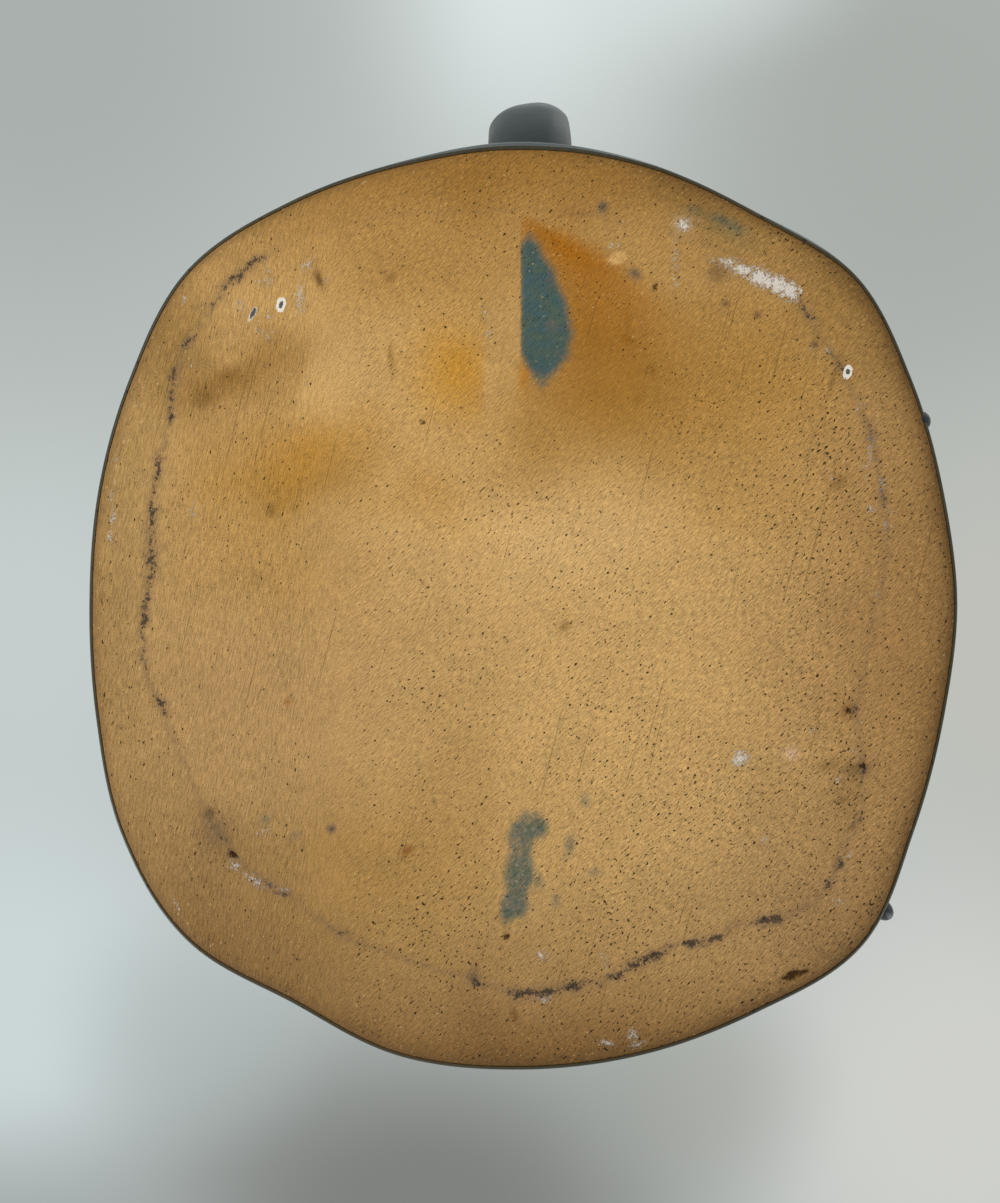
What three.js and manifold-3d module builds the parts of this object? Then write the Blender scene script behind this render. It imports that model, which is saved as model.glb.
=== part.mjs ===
// Hand-built stoneware pitcher: a paddled, rounded-square pot with a collar neck, a beak spout and a handle.
// Millimetres, +Z up. The origin is the middle of the underside, the handle is at +X and the spout at -X.
import * as THREE from "three";
import { mergeVertices } from "three/addons/utils/BufferGeometryUtils.js";
import Module from "manifold-3d";

const wasm = await Module();
wasm.setup();

// Foot and floor
const FOOT_RADIUS = 68.5; // mean radius of the pot where the foot's rounded edge ends
const EDGE_ROUND = 6; // how far the foot's edge rounds in
const EDGE_RISE = 7; // how high the foot's edge rounds up
const FOOT_LAND = 3.5; // flat ring of the wall that stands beside the floor slab
const FLOOR_THICKNESS = 8;
const SEAM_COIL = 6; // radius of the coil pressed into the corner between floor and wall

// How deep the paddle beat the sides in, and the outline's offset from a circle as a share of that depth,
// every 15 degrees from the handle to +Y
const PADDLE_DEPTH = 3.5;
const PADDLED_SHARES = [
  0.26, 0.11, -0.03, 0.46, -0.37, -0.94, -1, -0.93, -0.26, 0.97, 0.51, 0.34,
  0.31, 0.44, 0.14, 0.77, 0.23, -0.66, -1, -0.74, -0.14, 0.71, 0.37, 0.13,
];

// Heights of the clay courses, from the floor up
const WALL_COURSE = 112;
const SHOULDER_COURSE = 50;
const COLLAR_COURSE = 36;
const LIP_COURSE = 7;

// Mean outer radii, and how much of the foot's squareness is left at each height
const WALL = 6.5;
const FOOT_TAPER = 26; // height over which the thick foot thins to the wall
const BELLY_HEIGHT = 62;
const BELLY_RADIUS = 73.5;
const BELLY_SQUARE_RATIO = 1.1;
const SHOULDER_RADIUS = 69;
const SHOULDER_SQUARE_RATIO = 0.9;
const NECK_RADIUS = 51;
const NECK_SQUARE_RATIO = 0.3;
const RIM_RADIUS = 55;
const RIM_SQUARE_RATIO = 0.15;
const LIP_ROLL = 0.8; // how far the rolled lip stands proud of the collar, inside and out

// Spout
const SPOUT_REACH = 24; // how far the beak is drawn out past the rim
const SPOUT_LIFT = 3.5; // how far the beak's lip rises above the rim
const SPOUT_SPREAD = 44; // degrees to each side over which the rim is drawn out
const SPOUT_SWEEP = 55; // height over which the beak swells out of the neck
const SPOUT_CURVE = 1.8; // power of the swelling: 1 is straight, more is hollow
const NOTCH_SILL = 9; // height of the collar left whole under the spout's V notch
const NOTCH_TOP = 66; // width of the notch at the lip
const NOTCH_FOOT = 16; // width of the notch at its foot

// Handle
const HANDLE_REACH = 118; // from the pot's axis to the outermost face of the strap
const HANDLE_OFFSET = 2.5; // how far the strap sits off the pot's middle line
const ELBOW_HEIGHT = 122; // height where the strap stands furthest out
const LOWER_ROOT_HEIGHT = 58;
const HANDLE_CREST = 14; // how steeply the strap leaves the collar
const TOP_WIDTH = 26;
const MIDDLE_WIDTH = 20.5;
const LOW_WIDTH = 19;
const TOP_THICKNESS = 14;
const MIDDLE_THICKNESS = 11.5;
const LOW_THICKNESS = 10;
const STRAP_LEAN = 8; // degrees that the strap's section leans, its +Y side further out
const WAD_LENGTH = 18; // how far a wad reaches along the strap from the wall
const WAD_FLARE = 12; // how much wider and thicker than the strap a wad is at the wall

const CLEARANCE = 0.3; // slip joint between pieces that don't meet on a level face
const ROOT_DEPTH = 14; // how far inside the wall the handle's path starts, before the wall trims it
const ROUND_ARC = 0.55; // reach of a curve's handles that makes it a round quarter
const STRAP_SECTION_POWER = 2.5; // power of the strap's rounded section: 2 is an ellipse

// Fineness of the surfaces
const SEGMENTS = 64;
const ROW_HEIGHT = 12;
const ARC_STEPS = 5;
const STRAP_SIDES = 16;
const STRAP_RINGS = 26;
const WAD_RINGS = 7;
const SLOPE_STEP = 0.5;
const ON_AXIS = 0.001;

// Levels that follow from the courses
const seamTop = FLOOR_THICKNESS + SEAM_COIL;
const shoulderTop = WALL_COURSE + SHOULDER_COURSE;
const lipJoint = shoulderTop + COLLAR_COURSE;
const rimTop = lipJoint + LIP_COURSE;
const collarMiddle = (shoulderTop + lipJoint) / 2;
const notchSill = shoulderTop + NOTCH_SILL;
const footWidth = EDGE_ROUND + FOOT_LAND;
const footInner = FOOT_RADIUS - footWidth;

// Value at x of a smooth curve through points [x, value] listed by rising x: cubic pieces whose slope at a
// point is that of the line between its neighbours.
function curveThrough(points, x) {
  const last = points.length - 1;
  const slopeAt = (k) => {
    const [x0, v0] = points[Math.max(k - 1, 0)];
    const [x1, v1] = points[Math.min(k + 1, last)];
    return (v1 - v0) / (x1 - x0);
  };
  let i = 0;
  while (i < last - 1 && x > points[i + 1][0]) i += 1;
  const [x0, v0] = points[i];
  const [x1, v1] = points[i + 1];
  const span = x1 - x0;
  const t = THREE.MathUtils.clamp((x - x0) / span, 0, 1);
  const rise = t * t * (3 - 2 * t);
  const bend = slopeAt(i) * span * t * (1 - t) ** 2 - slopeAt(i + 1) * span * t * t * (1 - t);
  return v0 + (v1 - v0) * rise + bend;
}

const outerRadius = (z) =>
  curveThrough(
    [
      [EDGE_RISE, FOOT_RADIUS],
      [BELLY_HEIGHT, BELLY_RADIUS],
      [WALL_COURSE, SHOULDER_RADIUS],
      [shoulderTop, NECK_RADIUS],
      [rimTop, RIM_RADIUS],
    ],
    z,
  );

const squareness = (z) =>
  curveThrough(
    [
      [0, 1],
      [BELLY_HEIGHT, BELLY_SQUARE_RATIO],
      [WALL_COURSE, SHOULDER_SQUARE_RATIO],
      [shoulderTop, NECK_SQUARE_RATIO],
      [rimTop, RIM_SQUARE_RATIO],
    ],
    z,
  );

// Level distance through the wall: thick at the foot, and more where the wall slopes.
function innerRadius(z) {
  const slope = (outerRadius(z + SLOPE_STEP) - outerRadius(z - SLOPE_STEP)) / (2 * SLOPE_STEP);
  const thinned = THREE.MathUtils.smoothstep(z, seamTop, seamTop + FOOT_TAPER);
  const thickness = THREE.MathUtils.lerp(footWidth, WALL, thinned);
  return outerRadius(z) - thickness * Math.hypot(1, slope);
}

// The paddled outline's offset at an angle from the handle, as a smooth closed curve.
const sectors = PADDLED_SHARES.length;
const wrap = 2; // points repeated past each end, so that the curve closes smoothly
const offsetPoints = Array.from({ length: sectors + 2 * wrap + 1 }, (_, k) => [
  k - wrap,
  PADDLE_DEPTH * PADDLED_SHARES[(k - wrap + sectors) % sectors],
]);
const paddledOffset = (angle) =>
  curveThrough(offsetPoints, (THREE.MathUtils.euclideanModulo(angle, 2 * Math.PI) / (2 * Math.PI)) * sectors);

// Share of the spout's pull at an angle: 1 at the front, falling smoothly to 0 at the spread.
function spoutShare(angle) {
  const fromFront = Math.PI - Math.abs(angle);
  const part = Math.min(fromFront / THREE.MathUtils.degToRad(SPOUT_SPREAD), 1);
  return Math.cos((part * Math.PI) / 2) ** 2;
}

// Moves a turned shape's points to the paddled outline, and draws its front out into the spout.
function paddle(geometry) {
  const points = geometry.attributes.position;
  for (let i = 0; i < points.count; i += 1) {
    const [x, y, z] = [points.getX(i), points.getY(i), points.getZ(i)];
    const radius = Math.hypot(x, y);
    if (radius < ON_AXIS) continue;
    const angle = Math.atan2(y, x);
    const swell = Math.max(z - (rimTop - SPOUT_SWEEP), 0) / SPOUT_SWEEP;
    const pull = SPOUT_REACH * spoutShare(angle) * swell ** SPOUT_CURVE;
    const lift = (SPOUT_LIFT * spoutShare(angle) * Math.max(z - lipJoint, 0)) / LIP_COURSE;
    const drawn = radius + squareness(z) * paddledOffset(angle) + pull;
    points.setXYZ(i, drawn * Math.cos(angle), drawn * Math.sin(angle), z + lift);
  }
  return geometry;
}

// A profile of [radius, height] turned about the pot's axis and paddled.
function turned(profile) {
  const points = profile.map(([radius, z]) => new THREE.Vector2(radius, z));
  return paddle(new THREE.LatheGeometry(points, SEGMENTS).rotateX(Math.PI / 2));
}

const steps = (count) => Array.from({ length: count + 1 }, (_, k) => k / count);

function levels(from, to) {
  const rows = Math.ceil((to - from) / ROW_HEIGHT);
  return steps(rows).map((t) => THREE.MathUtils.lerp(from, to, t));
}

const outside = (from, to) => levels(from, to).map((z) => [outerRadius(z), z]);
const inside = (from, to) =>
  levels(from, to)
    .map((z) => [innerRadius(z), z])
    .reverse();

const closed = (profile) => [...profile, profile[0]];

// The foot's rounded edge, from the resting plane up to the wall's outside.
const footEdge = steps(ARC_STEPS)
  .slice(0, -1)
  .map((t) => {
    const turn = ((1 - t) * Math.PI) / 2;
    return [FOOT_RADIUS - EDGE_ROUND * (1 - Math.cos(turn)), EDGE_RISE * (1 - Math.sin(turn))];
  });

// The rolled lip, over the top from its outer joint to its inner joint.
const lipRoll = steps(2 * ARC_STEPS).map((t) => {
  const turn = t * Math.PI;
  const middle = (outerRadius(lipJoint) + innerRadius(lipJoint)) / 2;
  const half = outerRadius(lipJoint) - middle + 2 * LIP_ROLL * Math.sin(turn);
  return [middle + half * Math.cos(turn), lipJoint + LIP_COURSE * Math.sin(turn)];
});

// A closed geometry as a solid that can be cut, and back again.
function solidOf(geometry) {
  const bare = geometry.clone();
  bare.deleteAttribute("normal");
  bare.deleteAttribute("uv");
  const merged = mergeVertices(bare);
  return new wasm.Manifold(
    new wasm.Mesh({
      numProp: 3,
      vertProperties: merged.attributes.position.array,
      triVerts: new Uint32Array(merged.index.array),
    }),
  );
}

function geometryOf(solid) {
  const { vertProperties, triVerts } = solid.getMesh();
  const geometry = new THREE.BufferGeometry();
  geometry.setAttribute("position", new THREE.BufferAttribute(vertProperties, 3));
  geometry.setIndex(new THREE.BufferAttribute(triVerts, 1));
  geometry.computeVertexNormals();
  return geometry;
}

// The V notch at the front: a wedge that reaches from the pot's axis out past the beak, widened by a margin.
function notchWedge(margin) {
  const lean = (NOTCH_TOP - NOTCH_FOOT) / 2 / (rimTop - notchSill);
  const side = margin * Math.hypot(1, lean);
  const halfWidth = (z) => NOTCH_FOOT / 2 + lean * (z - notchSill) + side;
  const bottom = notchSill - margin;
  const top = rimTop + SPOUT_LIFT + LIP_COURSE;
  const outline = new THREE.Shape([
    new THREE.Vector2(-halfWidth(bottom), bottom),
    new THREE.Vector2(halfWidth(bottom), bottom),
    new THREE.Vector2(halfWidth(top), top),
    new THREE.Vector2(-halfWidth(top), top),
  ]);
  const depth = RIM_RADIUS + SPOUT_REACH + WALL + PADDLE_DEPTH;
  const place = new THREE.Matrix4().makeBasis(
    new THREE.Vector3(0, 1, 0),
    new THREE.Vector3(0, 0, 1),
    new THREE.Vector3(1, 0, 0),
  );
  place.setPosition(-depth, 0, 0);
  return new THREE.ExtrudeGeometry(outline, { depth, bevelEnabled: false }).applyMatrix4(place);
}

// The strap's middle line: out of the collar, round the elbow and back into the wall.
const elbowX = HANDLE_REACH - MIDDLE_THICKNESS / 2;
const upperX = outerRadius(collarMiddle) - ROOT_DEPTH;
const lowerX = outerRadius(LOWER_ROOT_HEIGHT) - ROOT_DEPTH;
const onStrap = (x, z) => new THREE.Vector3(x, HANDLE_OFFSET, z);
const between = (from, to) => THREE.MathUtils.lerp(from, to, ROUND_ARC);
const strapLine = new THREE.CurvePath();
strapLine.add(
  new THREE.CubicBezierCurve3(
    onStrap(upperX, collarMiddle),
    onStrap(between(upperX, elbowX), collarMiddle + HANDLE_CREST),
    onStrap(elbowX, between(ELBOW_HEIGHT, collarMiddle)),
    onStrap(elbowX, ELBOW_HEIGHT),
  ),
);
strapLine.add(
  new THREE.CubicBezierCurve3(
    onStrap(elbowX, ELBOW_HEIGHT),
    onStrap(elbowX, between(ELBOW_HEIGHT, LOWER_ROOT_HEIGHT)),
    onStrap(between(lowerX, elbowX), LOWER_ROOT_HEIGHT),
    onStrap(lowerX, LOWER_ROOT_HEIGHT),
  ),
);
const strapLength = strapLine.getLength();
const wadEnd = (ROOT_DEPTH + WAD_LENGTH) / strapLength;
const jointGap = CLEARANCE / strapLength;

// A size of the strap, at a share of its length from the collar, that changes smoothly from top to bottom.
const tapered = (sizes, share) => curveThrough(sizes.map((size, k) => [k / (sizes.length - 1), size]), share);
const strapWidth = (share) => tapered([TOP_WIDTH, MIDDLE_WIDTH, LOW_WIDTH], share);
const strapThickness = (share) => tapered([TOP_THICKNESS, MIDDLE_THICKNESS, LOW_THICKNESS], share);

// Extra width of a wad, whose edges sweep out to the wall.
function wadFlare(share) {
  const fromWall = Math.min(share, 1 - share) * strapLength - ROOT_DEPTH;
  const part = THREE.MathUtils.clamp(1 - fromWall / WAD_LENGTH, 0, 1);
  return WAD_FLARE * part * part;
}

// One ring of the strap's rounded section, square to the middle line, with its extra width.
function strapRing(share, flare) {
  const middle = strapLine.getPointAt(share);
  const along = strapLine.getTangentAt(share);
  const across = new THREE.Vector3(0, 1, 0);
  const outward = new THREE.Vector3().crossVectors(along, across);
  const lean = THREE.MathUtils.degToRad(STRAP_LEAN);
  const rounded = (value) => Math.sign(value) * Math.abs(value) ** (2 / STRAP_SECTION_POWER);
  return Array.from({ length: STRAP_SIDES }, (_, k) => {
    const turn = (2 * Math.PI * k) / STRAP_SIDES;
    const a = (rounded(Math.cos(turn)) * (strapWidth(share) + flare)) / 2;
    const b = (rounded(Math.sin(turn)) * (strapThickness(share) + flare)) / 2;
    const y = a * Math.cos(lean) - b * Math.sin(lean);
    const n = a * Math.sin(lean) + b * Math.cos(lean);
    return middle.clone().addScaledVector(across, y).addScaledVector(outward, n);
  });
}

// A closed skin over rings of points, with a flat fan on each end.
function skinOver(rings) {
  const sides = rings[0].length;
  const ends = [rings[0], rings.at(-1)].map((ring) =>
    ring.reduce((sum, point) => sum.add(point), new THREE.Vector3()).divideScalar(sides),
  );
  const points = [...rings.flat(), ...ends];
  const first = points.length - 2;
  const index = [];
  for (let k = 0; k < sides; k += 1) {
    const next = (k + 1) % sides;
    for (let row = 0; row < rings.length - 1; row += 1) {
      const [a, b] = [row * sides + k, row * sides + next];
      index.push(a, b, b + sides, a, b + sides, a + sides);
    }
    const lastRow = (rings.length - 1) * sides;
    index.push(first, next, k, first + 1, lastRow + k, lastRow + next);
  }
  return new THREE.BufferGeometry().setFromPoints(points).setIndex(index);
}

// A stretch of the strap between two shares of its length, with the extra width that each share asks for.
function strapPiece(from, to, rings, flareAt) {
  const shares = steps(rings).map((t) => THREE.MathUtils.lerp(from, to, t));
  return skinOver(shares.map((share) => strapRing(share, flareAt(share))));
}

const stoneware = new THREE.MeshStandardMaterial({ color: 0xb28d58, roughness: 0.9, metalness: 0 });
const glaze = new THREE.MeshStandardMaterial({ color: 0x454e4a, roughness: 0.3, metalness: 0 });

const pitcher = new THREE.Group();

function addPiece(name, geometry, material) {
  const piece = new THREE.Mesh(geometry, material);
  piece.name = name;
  pitcher.add(piece);
}

// Floor: the slab, and the coil in its corner
const slabRadius = footInner - CLEARANCE;
const slabProfile = [
  [0, 0],
  [slabRadius, 0],
  [slabRadius, FLOOR_THICKNESS],
  [0, FLOOR_THICKNESS],
];
const coilRound = steps(ARC_STEPS).map((t) => {
  const turn = (t * Math.PI) / 2;
  return [slabRadius - SEAM_COIL * Math.sin(turn), FLOOR_THICKNESS + SEAM_COIL * Math.cos(turn)];
});
addPiece("base_slab", turned(slabProfile), stoneware);
addPiece("base_seam_coil", turned(closed([[slabRadius, FLOOR_THICKNESS], ...coilRound])), glaze);

// All on one side of an upright plane through the pot's axis, less half a slip joint.
function halfSpace(angle) {
  const reach = 2 * (rimTop + BELLY_RADIUS);
  const half = new THREE.BoxGeometry(reach, reach, reach).translate((reach + CLEARANCE) / 2, 0, 0);
  return solidOf(half.rotateZ(angle));
}

// A ring as equal slabs round the pot, each named for the side that it faces.
const facing = { back: 0, right: Math.PI / 2, front: Math.PI, left: -Math.PI / 2 };
function addSlabs(name, ring, sides) {
  const lean = Math.PI / 2 - Math.PI / sides.length;
  for (const side of sides) {
    const slab = ring.intersect(halfSpace(facing[side] + lean)).intersect(halfSpace(facing[side] - lean));
    addPiece(`${side}_${name}`, geometryOf(slab), glaze);
  }
}

// Wall and shoulder: four side slabs each, joined at the corners of the rounded square
const fourSides = Object.keys(facing);
const wallOutside = [...footEdge, ...outside(EDGE_RISE, WALL_COURSE)];
const wallInside = [...inside(seamTop + SEAM_COIL, WALL_COURSE), [footInner, seamTop], [footInner, 0]];
addSlabs("wall_slab", solidOf(turned(closed([...wallOutside, ...wallInside]))), fourSides);
const shoulderOutside = outside(WALL_COURSE, shoulderTop);
const shoulderInside = inside(WALL_COURSE, shoulderTop);
addSlabs("shoulder_slab", solidOf(turned(closed([...shoulderOutside, ...shoulderInside]))), fourSides);

// Neck: the collar's two slabs, joined under the handle, the lip on them, and the spout in the front notch
const collarOutside = outside(shoulderTop, lipJoint);
const collarInside = inside(shoulderTop, lipJoint);
const notch = solidOf(notchWedge(CLEARANCE));
const collar = solidOf(turned(closed([...collarOutside, ...collarInside])));
const lip = solidOf(turned(closed(lipRoll)));
const rim = solidOf(turned(closed([...collarOutside, ...lipRoll.slice(1, -1), ...collarInside])));
addSlabs("collar_slab", collar.subtract(notch), ["right", "left"]);
addPiece("lip_coil", geometryOf(lip.subtract(notch)), glaze);
addPiece("spout", geometryOf(rim.intersect(solidOf(notchWedge(0)))), glaze);

// Handle: the strap, and the wads that join it to the pot
const lipOutside = lipRoll.slice(1, ARC_STEPS + 1);
const potOutside = [...wallOutside, ...shoulderOutside.slice(1), ...collarOutside.slice(1), ...lipOutside];
const potCore = [[0, 0], ...potOutside.map(([radius, z]) => [radius + CLEARANCE, z]), [0, rimTop]];
const trimmed = (geometry) => geometryOf(solidOf(geometry).subtract(solidOf(turned(potCore))));
const noFlare = () => 0;
addPiece("handle_strap", strapPiece(wadEnd + jointGap, 1 - wadEnd - jointGap, STRAP_RINGS, noFlare), glaze);
addPiece("upper_handle_wad", trimmed(strapPiece(0, wadEnd, WAD_RINGS, wadFlare)), glaze);
addPiece("lower_handle_wad", trimmed(strapPiece(1 - wadEnd, 1, WAD_RINGS, wadFlare)), glaze);

export default pitcher;
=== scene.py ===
"""Looks of a hand-built stoneware pitcher: a bare, scraped clay base under a dark slate glaze.

Shapes are written in millimetres in the part's frame: +Z up, the handle at +X, the spout at -X. A place on
the base is given as it is seen from below with the handle at the top: right is +Y and up is +X.
"""

import bpy
import numpy as np
from mathutils import Matrix, Vector


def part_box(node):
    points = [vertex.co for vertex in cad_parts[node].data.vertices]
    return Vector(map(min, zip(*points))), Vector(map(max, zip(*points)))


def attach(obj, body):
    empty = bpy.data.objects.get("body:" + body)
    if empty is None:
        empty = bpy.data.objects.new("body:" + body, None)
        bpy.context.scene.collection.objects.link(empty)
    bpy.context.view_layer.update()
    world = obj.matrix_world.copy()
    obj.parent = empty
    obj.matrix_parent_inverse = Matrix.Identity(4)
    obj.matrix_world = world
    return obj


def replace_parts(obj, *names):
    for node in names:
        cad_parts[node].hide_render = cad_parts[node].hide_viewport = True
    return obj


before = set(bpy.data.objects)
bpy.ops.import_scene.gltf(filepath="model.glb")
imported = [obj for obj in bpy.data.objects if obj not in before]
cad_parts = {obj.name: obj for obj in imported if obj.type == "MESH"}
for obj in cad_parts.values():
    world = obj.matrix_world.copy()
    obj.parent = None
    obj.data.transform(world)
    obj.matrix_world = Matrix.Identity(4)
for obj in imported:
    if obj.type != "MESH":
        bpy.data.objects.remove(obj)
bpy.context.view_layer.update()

MM = 0.001

# Sizes of the pot, as in its solids
FOOT_RADIUS = 68.5
EDGE_ROUND = 6
EDGE_RISE = 7
FOOT_WIDTH = 9.5
FLOOR_THICKNESS = 8
SEAM_COIL = 6
FOOT_TAPER = 26
WALL = 6.5
BELLY_HEIGHT = 62
LIP_COURSE = 7
LIP_ROLL = 0.8
BELLY_RADIUS, SHOULDER_RADIUS, NECK_RADIUS, RIM_RADIUS = 73.5, 69, 51, 55
SQUARE_RATIOS = [1, 1.1, 0.9, 0.3, 0.15]  # the share of the foot's squareness left, floor to rim
PADDLE_DEPTH = 3.5
PADDLED_SHARES = [  # the outline's offset from a circle, every 15 degrees from the handle to +Y
    0.26, 0.11, -0.03, 0.46, -0.37, -0.94, -1, -0.93, -0.26, 0.97, 0.51, 0.34,
    0.31, 0.44, 0.14, 0.77, 0.23, -0.66, -1, -0.74, -0.14, 0.71, 0.37, 0.13,
]
SPOUT_REACH, SPOUT_LIFT, SPOUT_SPREAD, SPOUT_SWEEP, SPOUT_CURVE = 24, 3.5, 44, 55, 1.8
HANDLE_REACH, HANDLE_OFFSET, ELBOW_HEIGHT, LOWER_ROOT_HEIGHT = 118, 2.5, 122, 58
HANDLE_CREST, ROUND_ARC, ROOT_DEPTH = 14, 0.55, 14
STRAP_WIDTHS, STRAP_THICKNESSES = [26, 20.5, 19], [14, 11.5, 10]
STRAP_LEAN, STRAP_SECTION_POWER = 8, 2.5
WAD_LENGTH, WAD_FLARE = 18, 12

# Levels of the clay courses, from the frame
wall_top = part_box("back_wall_slab")[1].z / MM
shoulder_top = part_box("back_shoulder_slab")[1].z / MM
lip_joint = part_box("right_collar_slab")[1].z / MM
rim_top = lip_joint + LIP_COURSE
collar_middle = (shoulder_top + lip_joint) / 2

# The coat of glaze: its usual thickness, and how far the clay under it lies inside the solids
GLAZE = 0.35
UNDER_COAT = 0.85

# The strap as it is drawn: narrower and thinner than its solid, over to -Y, and sunk into the wall
STRAP_NARROWER, STRAP_THINNER, STRAP_OVER, STRAP_SUNK = 2, 0.4, 0.3, 5


def smooth(low, high, value):
    """0 at low, 1 at high, and the cubic 3t^2 - 2t^3 between them."""
    t = np.clip((value - low) / (high - low), 0, 1)
    return t * t * (3 - 2 * t)


def curve_through(xs, values, x):
    """Smooth curve through points: cubic pieces whose slope at a point is that of the line between the
    points on its two sides."""
    xs = np.asarray(xs, float)
    values = np.asarray(values, float)
    last = len(xs) - 1
    before = np.maximum(np.arange(last + 1) - 1, 0)
    after = np.minimum(np.arange(last + 1) + 1, last)
    slopes = (values[after] - values[before]) / (xs[after] - xs[before])
    i = np.clip(np.searchsorted(xs, x) - 1, 0, last - 1)
    span = xs[i + 1] - xs[i]
    t = np.clip((x - xs[i]) / span, 0, 1)
    bend = slopes[i] * span * t * (1 - t) ** 2 - slopes[i + 1] * span * t * t * (1 - t)
    return values[i] + (values[i + 1] - values[i]) * t * t * (3 - 2 * t) + bend


def cloud(across, along, seed, period=64):
    """Soft noise from -1 to 1: random heights on a square lattice, joined by smoothsteps. It repeats
    across at the period, and along at 64."""
    rows = 64
    lattice = np.random.default_rng(seed).uniform(-1, 1, (period, rows))
    i = np.floor(across).astype(int)
    j = np.floor(along).astype(int)
    s = smooth(0, 1, across - i)
    t = smooth(0, 1, along - j)
    i0, i1, j0, j1 = i % period, (i + 1) % period, j % rows, (j + 1) % rows
    low = lattice[i0, j0] * (1 - s) + lattice[i1, j0] * s
    high = lattice[i0, j1] * (1 - s) + lattice[i1, j1] * s
    return low * (1 - t) + high * t


def linear(code):
    """An sRGB hex colour as linear red, green, blue and an alpha of 1."""
    parts = np.array([int(code[k:k + 2], 16) for k in (1, 3, 5)]) / 255
    light = np.where(parts <= 0.04045, parts / 12.92, ((parts + 0.055) / 1.055) ** 2.4)
    return (*light.tolist(), 1.0)


# Outline and profile of the pot

def paddled_offset(angle):
    """How far the outline stands out of a circle at an angle from the handle: a smooth closed curve."""
    count = len(PADDLED_SHARES)
    step = np.arange(-2, count + 3)
    offsets = PADDLE_DEPTH * np.array(PADDLED_SHARES)[step % count]
    return curve_through(step, offsets, np.mod(angle, 2 * np.pi) / (2 * np.pi) * count)


def outer_radius(z):
    """Mean outer radius at a height: a smooth curve through the foot, belly, shoulder, neck and rim."""
    heights = [EDGE_RISE, BELLY_HEIGHT, wall_top, shoulder_top, rim_top]
    return curve_through(heights, [FOOT_RADIUS, BELLY_RADIUS, SHOULDER_RADIUS, NECK_RADIUS, RIM_RADIUS], z)


def inner_radius(z):
    """Mean inner radius: the wall is thicker at the foot, and measures more on the level where it
    slopes."""
    slope = outer_radius(z + 0.5) - outer_radius(z - 0.5)
    seam_top = FLOOR_THICKNESS + SEAM_COIL
    thickness = FOOT_WIDTH + (WALL - FOOT_WIDTH) * smooth(seam_top, seam_top + FOOT_TAPER, z)
    return outer_radius(z) - thickness * np.hypot(1, slope)


def spout_share(angle):
    """Share of the spout's pull at an angle: 1 at the front, a squared cosine that reaches 0 at the
    spread."""
    from_front = np.abs(np.mod(angle, 2 * np.pi) - np.pi)
    return np.cos(np.pi / 2 * np.minimum(from_front / np.radians(SPOUT_SPREAD), 1)) ** 2


def on_pot(radius, z, angle):
    """A turned profile's point on the pot: its radius plus the outline's offset, which fades with height
    and towards the axis, with the front drawn out and up into the beak."""
    square = curve_through([0, BELLY_HEIGHT, wall_top, shoulder_top, rim_top], SQUARE_RATIOS, z)
    square = square * np.clip(radius / NECK_RADIUS, 0, 1)
    swell = np.maximum(z - (rim_top - SPOUT_SWEEP), 0) / SPOUT_SWEEP
    pull = SPOUT_REACH * spout_share(angle) * swell ** SPOUT_CURVE
    drawn = radius + square * paddled_offset(angle) + pull
    lifted = z + SPOUT_LIFT * spout_share(angle) * np.maximum(z - lip_joint, 0) / LIP_COURSE
    return np.stack(np.broadcast_arrays(drawn * np.cos(angle), drawn * np.sin(angle), lifted), axis=-1)


# Meshes

def make_piece(name, points, quads, triangles, material, slot_name, fields):
    """A smooth mesh from points in millimetres, its faces, and fields of a value or a colour to a point."""
    mesh = bpy.data.meshes.new(name)
    corners = np.concatenate([quads.ravel(), triangles.ravel()])
    starts = np.concatenate([np.arange(len(quads)) * 4, len(quads) * 4 + np.arange(len(triangles)) * 3])
    mesh.vertices.add(len(points))
    mesh.vertices.foreach_set("co", (points * MM).ravel())
    mesh.loops.add(len(corners))
    mesh.loops.foreach_set("vertex_index", corners)
    mesh.polygons.add(len(starts))
    mesh.polygons.foreach_set("loop_start", starts)
    mesh.polygons.foreach_set("use_smooth", np.ones(len(starts), bool))
    mesh.update(calc_edges=True)
    for field, values in fields.items():
        if values.ndim == 2:
            mesh.attributes.new(field, "FLOAT_COLOR", "POINT").data.foreach_set("color", values.ravel())
        else:
            mesh.attributes.new(field, "FLOAT", "POINT").data.foreach_set("value", values)
    mesh.materials.append(material)
    piece = bpy.data.objects.new(name, mesh)
    bpy.context.scene.collection.objects.link(piece)
    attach(piece, "root")
    return piece


def ring_faces(rows, columns):
    """Quads between neighbouring rings, and a fan from each end ring to its own point after the rings."""
    row, column = np.meshgrid(np.arange(rows), np.arange(columns), indexing="ij")
    here = row * columns + column
    beside = row * columns + (column + 1) % columns
    quads = np.stack([here[:-1], beside[:-1], beside[1:], here[1:]], axis=-1).reshape(-1, 4)
    first = np.full(columns, rows * columns)
    start = np.stack([first, beside[0], here[0]], axis=-1)
    end = np.stack([first + 1, here[-1], beside[-1]], axis=-1)
    return quads, np.concatenate([start, end])


def ring_piece(name, rings, material, fields):
    """A closed glazed piece over rings of points, rows by columns, with a middle point on each end."""
    rows, columns = rings.shape[:2]
    points = np.concatenate([rings.reshape(-1, 3), rings[[0, -1]].mean(axis=1)])
    whole = {key: np.append(v.ravel(), [v[0].mean(), v[-1].mean()]) for key, v in fields.items()}
    return make_piece(name, points, *ring_faces(rows, columns), material, "slate_glaze", whole)


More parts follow.
